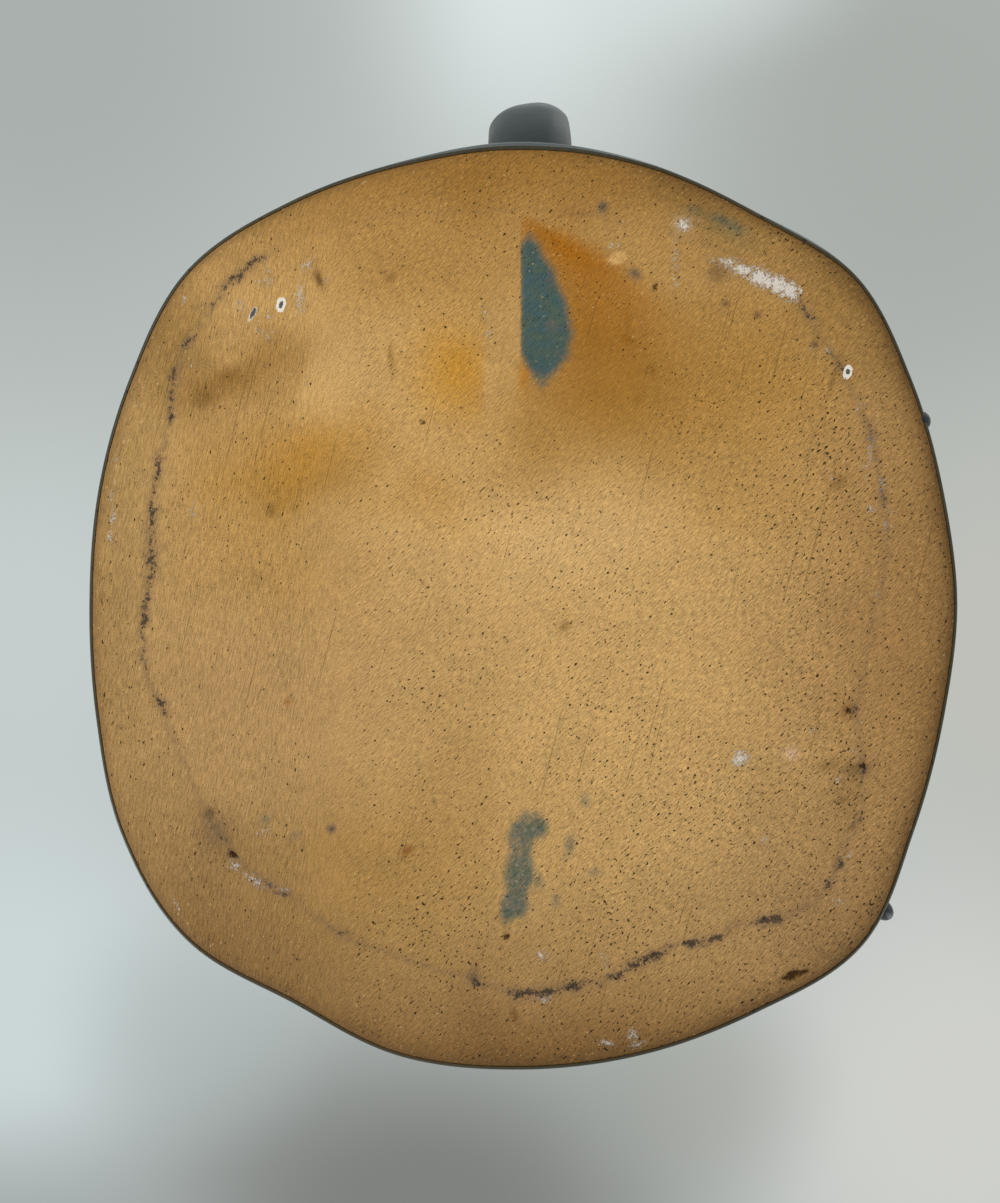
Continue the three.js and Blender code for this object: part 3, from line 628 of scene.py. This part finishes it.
def pot_body(material):
    """The wall, lip, spout, inside and floor in one glazed skin: the profile's rows set round the outline,
    then raised by the coat of glaze, and by dents of paddle and hand and by runs, as clouds of noise."""
    columns = 360
    angle = np.arange(columns)[None, :] / columns * 2 * np.pi
    radius, z, section, from_line = pot_rows(angle)
    outside = (section == ROUND_EDGE) | (section == OUTER_WALL)
    inside = section >= INNER_WALL

    # The glaze's thickness: nothing at its line, then a fat roll, then an even coat that runs
    fat_roll = 0.14 * np.exp(-(((from_line - 0.7) / 0.5) ** 2))
    coat = GLAZE * (1 - np.exp(-from_line / 0.14)) + fat_roll
    turns = angle / (2 * np.pi) + 0 * z
    paddled = cloud(turns * 13, z / 34 + 3, 51, 13)
    pressed = cloud(turns * 24, z / 11 + 7, 52, 24)
    runs = cloud(turns * 46, z / 45 + 2, 53, 46)
    outer_work = 0.28 * paddled + 0.12 * pressed + 0.05 * runs
    inner_work = 0.1 * paddled + 0.14 * cloud(turns * 8, z / 7 + 3, 54, 8)
    off_foot = smooth(5, 16, z)
    work = np.where(inside, inner_work, outer_work * off_foot) * smooth(rim_top, rim_top - 14, z)
    height = coat + work - UNDER_COAT * (0.4 + 0.6 * off_foot)
    tucked_in = -0.8
    height = np.where(section == UNDER_CLAY, tucked_in, height)
    rings = raised(on_pot(radius, z, angle), height)

    # Where the glaze breaks thin, over edges and high places, and where it pools
    crest = np.where(section == LIP, 1.0, 0.6 * smooth(lip_joint - 3, lip_joint, z))
    thin = (0.9 * np.exp(-from_line / 0.7) + 0.7 * np.clip(outer_work, 0, 0.5)) * outside + 0.85 * crest
    roll_at_foot = np.exp(-(((z - 11) / 4.5) ** 2)) * (0.55 + 0.45 * runs)
    waist = np.exp(-(((z - shoulder_top + 2) / 9) ** 2))
    pool = (0.75 * roll_at_foot + 0.35 * waist + 0.6 * np.clip(-outer_work, 0, 0.5)) * outside
    pool = pool + 0.8 * smooth(34, 10, z) * inside
    fields = {"thin": np.clip(thin, 0, 1), "pool": np.clip(pool, 0, 1)}
    piece = ring_piece("pot_body", rings, material, fields)
    sides = ("back", "right", "front", "left")
    slabs = [f"{side}_{course}_slab" for course in ("wall", "shoulder") for side in sides]
    collar = ["right_collar_slab", "left_collar_slab"]
    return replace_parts(piece, "base_seam_coil", *slabs, *collar, "lip_coil", "spout")


def bezier(points, t):
    """Points at t on a cubic curve with four control points."""
    p = np.array(points, float)
    t = t[:, None]
    return p[0] * (1 - t) ** 3 + 3 * p[1] * t * (1 - t) ** 2 + 3 * p[2] * t * t * (1 - t) + p[3] * t ** 3


def handle(material):
    """The pulled strap: a section whose half sizes follow a superellipse, carried along two cubic curves
    out of the collar, round the elbow and back into the wall, crowned on its outer face and swept out at
    both roots."""
    elbow_x = HANDLE_REACH - STRAP_THICKNESSES[1] / 2
    upper_x = outer_radius(collar_middle) - ROOT_DEPTH
    lower_x = outer_radius(LOWER_ROOT_HEIGHT) - ROOT_DEPTH
    upper = [
        (upper_x, collar_middle),
        (upper_x + (elbow_x - upper_x) * ROUND_ARC, collar_middle + HANDLE_CREST),
        (elbow_x, ELBOW_HEIGHT + (collar_middle - ELBOW_HEIGHT) * ROUND_ARC),
        (elbow_x, ELBOW_HEIGHT),
    ]
    lower = [
        (elbow_x, ELBOW_HEIGHT),
        (elbow_x, ELBOW_HEIGHT + (LOWER_ROOT_HEIGHT - ELBOW_HEIGHT) * ROUND_ARC),
        (lower_x + (elbow_x - lower_x) * ROUND_ARC, LOWER_ROOT_HEIGHT),
        (lower_x, LOWER_ROOT_HEIGHT),
    ]
    steps = np.linspace(0, 1, 400)
    path = np.concatenate([bezier(upper, steps), bezier(lower, steps)[1:]])
    reach = np.concatenate([[0], np.cumsum(np.hypot(*np.diff(path, axis=0).T))])
    rows, columns = 190, 72
    start = ROOT_DEPTH - STRAP_SUNK
    run = np.linspace(start, reach[-1] - start, rows)[:, None]
    x, z = np.interp(run, reach, path[:, 0]), np.interp(run, reach, path[:, 1])
    dx, dz = np.gradient(x, run[:, 0], axis=0), np.gradient(z, run[:, 0], axis=0)
    share = run / reach[-1]
    from_wall = np.minimum(run, reach[-1] - run) - ROOT_DEPTH
    part = np.clip(1 - from_wall / WAD_LENGTH, 0, 1)
    flare = WAD_FLARE * part ** 2
    width = curve_through([0, 0.5, 1], STRAP_WIDTHS, share) + flare - STRAP_NARROWER
    thickness = curve_through([0, 0.5, 1], STRAP_THICKNESSES, share) + flare - STRAP_THINNER
    turn = np.arange(columns)[None, :] / columns * 2 * np.pi
    cosine, sine = np.cos(turn), np.sin(turn)
    a = np.sign(cosine) * np.abs(cosine) ** (2 / STRAP_SECTION_POWER) * width / 2
    b = np.sign(sine) * np.abs(sine) ** (2 / STRAP_SECTION_POWER) * thickness / 2
    pulled = cloud(turn / (2 * np.pi) * 9 + 0 * run, run / 30 + 0 * turn, 61, 9)
    edge = smooth(0.36, 0.5, np.abs(a) / width)
    a = a * (1 + 0.006 * pulled)
    crown = 1 - 0.2 * np.abs(2 * a / width) ** 3 * smooth(0, 0.3, b / thickness)
    b = b * crown * (1 + 0.015 * pulled)
    lean = np.radians(STRAP_LEAN)
    across = a * np.cos(lean) - b * np.sin(lean)
    outward = a * np.sin(lean) + b * np.cos(lean)
    rings = np.stack([x - dz * outward, HANDLE_OFFSET - STRAP_OVER + across, z + dx * outward], axis=-1)
    thin = np.clip(0.3 * edge + 0.2 * pulled, 0, 1)
    pool = np.clip(0.5 + 0.4 * smooth(0.6, 1, part) - 0.3 * edge, 0, 1)
    piece = ring_piece("handle", rings, material, {"thin": thin, "pool": pool})
    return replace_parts(piece, "handle_strap", "upper_handle_wad", "lower_handle_wad")


# Drips of glaze stopped at the foot: name, degrees from the handle to +Y, half width, how proud, how tall
DRIPS = [("upper_drip", 65.3, 1.4, 1.2, 9), ("lower_drip", 130.2, 1.5, 2.1, 12)]


def drip(material, name, degrees, half_width, proud, tall):
    """A run of glaze with a bead at its foot: circles about a line up the wall, whose size rises as a
    square root from the tip, swells to the bead and draws out to nothing at the top."""
    tip_level = 3.0
    sunk = 0.35
    part = np.linspace(0.004, 0.996, 40)[:, None]
    turn = np.linspace(0, 2 * np.pi, 24, endpoint=False)[None, :]
    bead = np.sqrt(part) * np.exp(-(((part - 0.12) / 0.34) ** 2))
    size = bead / bead.max() * np.sqrt(1 - part ** 4)
    level = tip_level + tall * part
    centre = np.radians(degrees)
    wall_turn = np.arcsin(np.clip(1 - level / EDGE_RISE, 0, 1))
    edge = FOOT_RADIUS - EDGE_ROUND * (1 - np.cos(wall_turn))
    wall = np.where(level < EDGE_RISE, edge, outer_radius(level))
    radius = wall + paddled_offset(centre) - sunk + size * np.cos(turn) * proud
    sideways = size * np.sin(turn) * half_width
    x = radius * np.cos(centre) - sideways * np.sin(centre)
    y = radius * np.sin(centre) + sideways * np.cos(centre)
    rings = np.stack(np.broadcast_arrays(x, y, level), axis=-1)
    even = np.zeros(rings.shape[:2])
    return ring_piece(name, rings, material, {"thin": even, "pool": even + 0.8})


# Materials

def add(tree, kind, inputs, **settings):
    """Adds a node, whose kind is its type's name after ShaderNode, with its settings, gives its named or
    numbered inputs a value or a link, and returns its first output that is in use."""
    made = tree.nodes.new("ShaderNode" + kind)
    for name, value in settings.items():
        setattr(made, name, value)
    for key, value in inputs.items():
        named = [s for s in made.inputs if s.enabled and s.name == key]
        socket = named[0] if named else made.inputs[key]
        if isinstance(value, bpy.types.NodeSocket):
            tree.links.new(value, socket)
        else:
            socket.default_value = value
    return next((s for s in made.outputs if s.enabled), None)


def new_material(name):
    """An empty node material, its node tree and its texture place, which is the object's own."""
    material = bpy.data.materials.new(name)
    material.use_nodes = True
    material.node_tree.nodes.clear()
    place = add(material.node_tree, "TexCoord", {}).node.outputs["Object"]
    return material, material.node_tree, place


def rib_marks(tree, place, pits):
    """What the rib left on the clay: drag lines, and shares of pit and long scratch, and of painted glint, a
    highlight on the ridges. They are drawn a little coarser than the real ones, so that they show."""
    # Drag lines 0.18 mm wide and pulls of the rib 0.37 mm wide, both steeper and longer on the left
    right = add(tree, "SeparateXYZ", {"Vector": place}).node.outputs["Y"]
    on_left = add(tree, "MapRange", {"Value": right, "From Min": -24 * MM, "From Max": -32 * MM})
    drawn = []
    for wide, right_long, left_long, detail in ((0.18, 1.1, 1.6, 1.0), (0.37, 0.6, 0.75, 0.6)):
        ways = []
        for degrees, long in ((46, right_long), (12, left_long)):
            turned = add(tree, "Mapping", {
                "Vector": place, "Rotation": (0, 0, np.radians(degrees)),
                "Scale": (long * MM, wide * MM, 2 * MM),
            }, vector_type="TEXTURE")
            ways.append(add(tree, "TexNoise", {"Vector": turned, "Scale": 1.0, "Detail": detail}))
        drawn.append(add(tree, "Mix", {"Factor": on_left, "A": ways[0], "B": ways[1]}))
    drag, pull = drawn

    # Pits where the pull is strongest, and painted glints, highlights on the ridges beside them, where it is
    # weakest
    pit_chance = add(tree, "Math", {0: pits, 1: 0.12, 2: pull}, operation="MULTIPLY_ADD")
    pit = add(tree, "MapRange", {"Value": pit_chance, "From Min": 0.822, "From Max": 0.834})
    painted_glint = add(tree, "MapRange", {"Value": pull, "From Min": 0.27, "From Max": 0.23, "To Max": 0.35})

    # Long scratches, 0.3 mm wide and 30 mm long
    along_rib = add(tree, "Mapping", {
        "Vector": place, "Rotation": (0, 0, np.radians(14)), "Scale": (30 * MM, 0.3 * MM, 5 * MM),
    }, vector_type="TEXTURE")
    scratches = add(tree, "TexNoise", {"Vector": along_rib, "Scale": 1.0, "Detail": 1.0})
    scratch = add(tree, "MapRange", {"Value": scratches, "From Min": 0.715, "From Max": 0.765})
    return drag, pit, painted_glint, scratch


def clay_noises(tree, place):
    """Noises about 0 in the clay: a fine grain of 0.22 mm, grit of 0.6 mm, a spread of stains over 2.2 mm
    and a slow mottle over 8 mm. The grain is drawn a little coarser than the real one, so that it shows."""
    noises = []
    for size in (0.22, 0.6, 2.2, 8):
        noise = add(tree, "TexNoise", {
            "Vector": place, "Scale": 1 / (size * MM), "Detail": 3.0, "Roughness": 0.6,
        })
        noises.append(add(tree, "Math", {0: noise, 1: 0.5}, operation="SUBTRACT"))
    return noises


def open_bubbles(tree, place, grit):
    """Layers of colour for bubbles of glaze that burst: a dark oval in a white rim, made ragged by grit."""
    layers = []
    for r, u, half_length, half_width, degrees, rim in OPEN_BUBBLES:
        own = add(tree, "Mapping", {
            "Vector": place, "Location": (u * MM, r * MM, 0), "Rotation": (0, 0, np.radians(90 - degrees)),
            "Scale": (half_length * MM, half_width * MM, 99 * MM),
        }, vector_type="TEXTURE")
        out = add(tree, "VectorMath", {0: own}, operation="LENGTH").node.outputs["Value"]
        out = add(tree, "Math", {0: grit, 1: 1.7, 2: out}, operation="MULTIPLY_ADD")
        white = add(tree, "MapRange", {"Value": out, "From Min": rim, "From Max": rim - 0.3, "To Max": 0.9})
        dark = add(tree, "MapRange", {"Value": out, "From Min": 1.1, "From Max": 0.8, "To Max": 0.9})
        layers += [(white, "#e6e2d6"), (dark, "#2d2a2a")]
    return layers


def bare_stoneware():
    """Buff stoneware, wiped and scraped with a rib and left bare. The eye sees a matt ground with fine
    slanted drag lines, pits where grog was pulled out, darkened with painted shade, painted glints on the
    ridges, pale flecks that are partly pale grains and partly painted glints, soft stains of blue slip and a
    broken dark joint."""
    material, tree, place = new_material("bare_stoneware")
    tone = add(tree, "Attribute", {}, attribute_name="tone")
    field = {}
    for name in ("blue", "joint", "iron", "white", "hole", "grainy", "pits", "flecks"):
        field[name] = add(tree, "Attribute", {}, attribute_name=name).node.outputs["Fac"]
    drag, pit, painted_glint, scratch = rib_marks(tree, place, field["pits"])
    grain, grit, spread, mottle = clay_noises(tree, place)
    speckle = add(tree, "Math", {0: grain, 1: grit}, operation="ADD")

    # Pale flecks where the grit stands highest, more of them by the joint: partly pale grains, partly
    # painted glints
    fleck_chance = add(tree, "Math", {0: field["flecks"], 1: 0.1, 2: grit}, operation="MULTIPLY_ADD")
    fleck_and_glint = add(tree, "MapRange", {
        "Value": fleck_chance, "From Min": 0.33, "From Max": 0.4, "To Max": 0.75,
    })

    # Blue and olive slip, where its field of distance, made ragged by noise, passes from edge to full
    olive = add(tree, "MapRange", {"Value": spread, "From Min": -0.1, "From Max": 0.16})
    slip = add(tree, "Mix", {
        "Factor": olive, "A": linear("#33555a"), "B": linear("#455a4e"),
    }, data_type="RGBA")
    ragged = add(tree, "Math", {0: spread, 1: grit}, operation="ADD")
    depth = add(tree, "Math", {0: ragged, 1: 0.7, 2: field["blue"]}, operation="MULTIPLY_ADD")
    share = add(tree, "MapRange", {
        "Value": depth, "From Min": -0.4, "From Max": 0.7, "To Max": 0.94,
    }, interpolation_type="SMOOTHSTEP")
    coated = add(tree, "Mix", {"Factor": share, "A": tone, "B": slip}, data_type="RGBA")

    # Ground colour, lit and darkened by the slow mottle, and by drag lines and grain where it is grainy
    fine = add(tree, "Math", {0: drag, 1: 0.7, 2: -0.35}, operation="MULTIPLY_ADD")
    for part, more in ((grit, 0.08), (grain, 0.75)):
        fine = add(tree, "Math", {0: part, 1: more, 2: fine}, operation="MULTIPLY_ADD")
    slow = add(tree, "Math", {0: mottle, 1: 0.3, 2: 1.0}, operation="MULTIPLY_ADD")
    shade = add(tree, "Math", {0: fine, 1: field["grainy"], 2: slow}, operation="MULTIPLY_ADD")
    colour = add(tree, "VectorMath", {0: coated, "Scale": shade}, operation="SCALE")

    # The joint: dark where its half width, made ragged by speckle, is more than the distance from its line
    astray = add(tree, "Math", {0: spread, 1: 2.4, 2: field["joint"]}, operation="MULTIPLY_ADD")
    off = add(tree, "Math", {0: astray}, operation="ABSOLUTE")
    width = add(tree, "Math", {0: speckle, 1: 2.9, 2: field["iron"]}, operation="MULTIPLY_ADD")
    depth = add(tree, "Math", {0: width, 1: off}, operation="SUBTRACT")
    haze = add(tree, "MapRange", {"Value": depth, "From Min": -1.3, "From Max": 0.1, "To Max": 0.6})
    iron = add(tree, "MapRange", {"Value": depth, "From Min": -0.1, "From Max": 0.25, "To Max": 0.85})
    layers = [(haze, "#7a6248"), (iron, "#332d28")]

    # Holes and crusts, with a few painted glints among the crusts, each where its field of distance, made
    # ragged by speckle, passes from edge to full
    shares = {}
    for name, code, amount, edge, full, most in (
        ("hole", "#3f2104", 0.9, -0.15, 0.25, 0.92),
        ("white", "#d6d0c4", 2.8, -0.05, 1.0, 0.88),
    ):
        depth = add(tree, "Math", {0: speckle, 1: amount, 2: field[name]}, operation="MULTIPLY_ADD")
        shares[name] = add(tree, "MapRange", {
            "Value": depth, "From Min": edge, "From Max": full, "To Max": most,
        }, interpolation_type="SMOOTHSTEP")
        layers.append((shares[name], code))

    # Over these the bubbles, painted glints, scratches, the painted shade of the pits, and flecks that are
    # partly painted glints
    layers += open_bubbles(tree, place, grit)
    scored = add(tree, "Math", {0: scratch, 1: 0.45}, operation="MULTIPLY")
    # The pits' dark colour is painted shade in their hollows
    pit_shade = add(tree, "Math", {0: pit, 1: 0.92}, operation="MULTIPLY")
    layers += [(painted_glint, "#e0c491"), (scored, "#6d4f24"), (pit_shade, "#251605"), (fleck_and_glint, "#eadfc6")]
    for share, code in layers:
        colour = add(tree, "Mix", {"Factor": share, "A": colour, "B": linear(code)}, data_type="RGBA")

    # Relief in millimetres
    relief = add(tree, "Math", {0: drag, 1: 0.16}, operation="MULTIPLY")
    for part, rise in (
        (grain, 0.05), (grit, 0.04), (pit, -0.12), (scratch, -0.05),
        (shares["hole"], -0.3), (shares["white"], 0.1),
    ):
        relief = add(tree, "Math", {0: part, 1: rise, 2: relief}, operation="MULTIPLY_ADD")
    normal = add(tree, "Bump", {"Strength": 1.0, "Distance": MM, "Height": relief})
    rough = add(tree, "Math", {0: grit, 1: 0.2, 2: 0.86}, operation="MULTIPLY_ADD")
    skin = add(tree, "BsdfPrincipled", {
        "Base Color": colour, "Roughness": rough, "Specular IOR Level": 0.12, "Normal": normal,
    })
    add(tree, "OutputMaterial", {"Surface": skin})
    return material


def slate_glaze():
    """A dark slate-teal stoneware glaze, poured and fired. The eye sees a satin gloss, blue-black where the
    glaze is thick, olive-brown where it breaks thin over edges, with faint runs down the wall and specks of
    iron."""
    material, tree, place = new_material("slate_glaze")
    thin = add(tree, "Attribute", {}, attribute_name="thin").node.outputs["Fac"]
    pool = add(tree, "Attribute", {}, attribute_name="pool").node.outputs["Fac"]

    # Clouds over 14 mm, runs 3 mm wide and 28 mm long, an orange peel of 0.9 mm and specks 2.4 mm apart
    cloudy = add(tree, "TexNoise", {
        "Vector": place, "Scale": 1 / (14 * MM), "Detail": 4.0, "Roughness": 0.55,
    })
    drawn = add(tree, "Mapping", {
        "Vector": place, "Scale": (3 * MM, 3 * MM, 28 * MM),
    }, vector_type="TEXTURE")
    runs = add(tree, "TexNoise", {"Vector": drawn, "Scale": 1.0, "Detail": 3.0, "Roughness": 0.6})
    peel = add(tree, "TexNoise", {"Vector": place, "Scale": 1 / (0.9 * MM), "Detail": 2.0})
    specks = add(tree, "TexVoronoi", {"Vector": place, "Scale": 1 / (2.4 * MM)})

    # Colour: the cloudy ground, then runs, pools, thin places and specks
    share = add(tree, "MapRange", {"Value": cloudy, "From Min": 0.35, "From Max": 0.65})
    colour = add(tree, "Mix", {
        "Factor": share, "A": linear("#1e2623"), "B": linear("#2c342f"),
    }, data_type="RGBA")
    thick = add(tree, "Math", {0: runs, 1: 0.5, 2: pool}, operation="MULTIPLY_ADD")
    broken = add(tree, "Math", {0: peel, 1: 0.6, 2: thin}, operation="MULTIPLY_ADD")
    for value, low, high, most, code in (
        (runs, 0.5, 0.75, 0.45, "#2e3d3d"),
        (thick, 0.3, 1.05, 0.9, "#172228"),
        (broken, 0.45, 1.15, 0.9, "#4b4029"),
        (specks, 0.16, 0.08, 0.7, "#171410"),
    ):
        share = add(tree, "MapRange", {"Value": value, "From Min": low, "From Max": high, "To Max": most})
        colour = add(tree, "Mix", {"Factor": share, "A": colour, "B": linear(code)}, data_type="RGBA")

    # Relief in millimetres: the runs and a slight orange peel
    relief = add(tree, "Math", {0: runs, 1: 0.08}, operation="MULTIPLY")
    relief = add(tree, "Math", {0: peel, 1: 0.015, 2: relief}, operation="MULTIPLY_ADD")
    normal = add(tree, "Bump", {"Strength": 1.0, "Distance": MM, "Height": relief})
    gloss = add(tree, "MapRange", {
        "Value": cloudy, "From Min": 0.3, "From Max": 0.7, "To Min": 0.26, "To Max": 0.42,
    })
    skin = add(tree, "BsdfPrincipled", {
        "Base Color": colour, "Roughness": gloss, "Specular IOR Level": 0.25, "Normal": normal,
    })
    add(tree, "OutputMaterial", {"Surface": skin})
    return material


# Stage: the floor, the backdrop, the lamps and the camera

# Painted soft shadows and lighter glows on the backdrop overhead, by slope from straight up: right, up, half
# sizes, colour, share
BACKDROP = "#b9c0be"
BACKDROP_SHADOWS_AND_GLOWS = [
    (0.06, 0.56, 0.17, 0.2, "#dfe8e7", 1.0),
    (-0.40, 0.48, 0.25, 0.25, "#a8aeac", 0.9),
    (0.34, 0.40, 0.26, 0.3, "#a8ada8", 0.95),
    (-0.42, -0.02, 0.2, 0.16, "#c7d1cf", 0.8),
    (-0.43, -0.34, 0.2, 0.2, "#ccd7d8", 0.95),
    (-0.08, -0.52, 0.26, 0.17, "#80827f", 1.0),
    (0.38, -0.42, 0.2, 0.22, "#d0d1cc", 0.95),
    (0.42, -0.04, 0.14, 0.2, "#c0c0b8", 0.8),
    (0.14, 0.57, 0.14, 0.1, "#d8e1e0", 0.8),
    (-0.46, -0.58, 0.2, 0.12, "#98a09f", 0.8),
    (-0.27, -0.36, 0.1, 0.09, "#acb6b5", 0.6),
    (0.15, -0.41, 0.1, 0.1, "#9fa19a", 0.6),
]
LAMPS = [  # name, place, width, level
    ("under_key", (250, -350, -400), 360, 0.42),
    ("top_light", (0, -120, 1300), 450, 0.22),
    ("side_key", (-4200, -6300, 2240), 4200, 0.26),
    ("right_fill", (700, 500, 500), 700, 0.05),
    ("back_fill", (-4900, 5600, 2100), 4200, 0.15),
]


def studio_world():
    """Even light from all round. The eye, reflections and glass meet a pale grey backdrop with painted soft
    shadows and glows overhead."""
    world = bpy.data.worlds.new("studio")
    world.use_nodes = True
    bpy.context.scene.world = world
    tree = world.node_tree
    tree.nodes.clear()
    way = add(tree, "TexCoord", {})
    height = add(tree, "SeparateXYZ", {"Vector": way}).node.outputs["Z"]
    above = add(tree, "Math", {0: height, 1: 0.01}, operation="MAXIMUM")
    inverse = add(tree, "Math", {0: 1.0, 1: above}, operation="DIVIDE")
    slope = add(tree, "VectorMath", {0: way, "Scale": inverse}, operation="SCALE")
    colour = linear(BACKDROP)
    for right, up, half_width, half_height, code, most in BACKDROP_SHADOWS_AND_GLOWS:
        off = add(tree, "VectorMath", {0: slope, 1: (up, right, 1)}, operation="SUBTRACT")
        sizes = (1 / half_height, 1 / half_width, 1)
        off = add(tree, "VectorMath", {0: off, 1: sizes}, operation="MULTIPLY")
        out = add(tree, "VectorMath", {0: off}, operation="LENGTH")
        share = add(tree, "MapRange", {
            "Value": out, "From Min": 1.5, "From Max": 0.2, "To Max": most,
        }, interpolation_type="SMOOTHSTEP")
        colour = add(tree, "Mix", {"Factor": share, "A": colour, "B": linear(code)}, data_type="RGBA")
    seen = add(tree, "Background", {"Color": colour, "Strength": 1.0})
    light = add(tree, "Background", {"Color": (1, 1, 1, 1), "Strength": 0.72})
    rays = add(tree, "LightPath", {}).node.outputs
    looks = add(tree, "Math", {0: rays["Is Camera Ray"], 1: rays["Is Glossy Ray"]}, operation="MAXIMUM")
    looks = add(tree, "Math", {0: looks, 1: rays["Is Transmission Ray"]}, operation="MAXIMUM")
    both = add(tree, "MixShader", {0: looks, 1: light, 2: seen})
    add(tree, "OutputWorld", {"Surface": both})


def studio_floor():
    """A wide pale floor of matt paper, half a millimetre under the foot, that can't be seen from below."""
    material, tree, place = new_material("floor_paper")
    fibre = add(tree, "TexNoise", {"Vector": place, "Scale": 1 / (120 * MM), "Detail": 3.0})
    colour = add(tree, "Mix", {
        "Factor": fibre, "A": linear("#cdd2d0"), "B": linear("#d3d7d5"),
    }, data_type="RGBA")
    paper = add(tree, "BsdfDiffuse", {"Color": colour})
    clear = add(tree, "BsdfTransparent", {})
    from_below = add(tree, "NewGeometry", {}).node.outputs["Backfacing"]
    either = add(tree, "MixShader", {0: from_below, 1: paper, 2: clear})
    add(tree, "OutputMaterial", {"Surface": either})
    half = 4000 * MM
    level = -0.5 * MM
    corners = [(-half, -half, level), (half, -half, level), (half, half, level), (-half, half, level)]
    mesh = bpy.data.meshes.new("floor")
    mesh.from_pydata(corners, [], [(0, 1, 2, 3)])
    mesh.materials.append(material)
    floor = bpy.data.objects.new("floor", mesh)
    bpy.context.scene.collection.objects.link(floor)
    floor.visible_shadow = False
    floor.visible_diffuse = False


def aimed(eye, aim, top):
    """The turn and place of a camera or lamp at one point that looks at another, its top towards a
    direction."""
    forward = (Vector(aim) - Vector(eye)).normalized()
    side = forward.cross(Vector(top)).normalized()
    turn = Matrix((side, side.cross(forward), -forward)).transposed().to_4x4()
    return Matrix.Translation(Vector(eye) * MM) @ turn


def soft_lamp(name, eye, size, level):
    """A square lamp that faces the pot. A white matt surface that faces it there shines back the given
    level, so its watts are pi squared times the level times the distance squared."""
    lamp = bpy.data.lights.new(name, "AREA")
    lamp.size = size * MM
    aim = (0, 0, 90)
    lamp.energy = np.pi ** 2 * level * (Vector(eye) - Vector(aim)).length_squared * MM ** 2
    thing = bpy.data.objects.new(name, lamp)
    thing.matrix_world = aimed(eye, aim, (0.1, 0.2, 1))
    thing.visible_camera = False
    bpy.context.scene.collection.objects.link(thing)


def photo_camera():
    """Looks straight up at the base from under it, handle at the top, 171 mm away, as the photograph
    does."""
    focal_pixels, tall_pixels = 1180, 1203
    camera = bpy.data.cameras.new("camera")
    camera.sensor_width = 36
    camera.lens = camera.sensor_width * focal_pixels / tall_pixels
    camera.clip_start = 10 * MM
    thing = bpy.data.objects.new("camera", camera)
    thing.matrix_world = aimed((0.5, -1.2, -171.5), (0.5, -3.15, 0), (1, 0, 0))
    bpy.context.scene.collection.objects.link(thing)
    bpy.context.scene.camera = thing


clay = bare_stoneware()
glaze = slate_glaze()
bare_base(clay)
pot_body(glaze)
handle(glaze)
for drip_name, *drip_sizes in DRIPS:
    drip(glaze, drip_name, *drip_sizes)

studio_world()
studio_floor()
for lamp_name, *lamp_values in LAMPS:
    soft_lamp(lamp_name, *lamp_values)
photo_camera()
bpy.context.scene.view_settings.view_transform = "Standard"
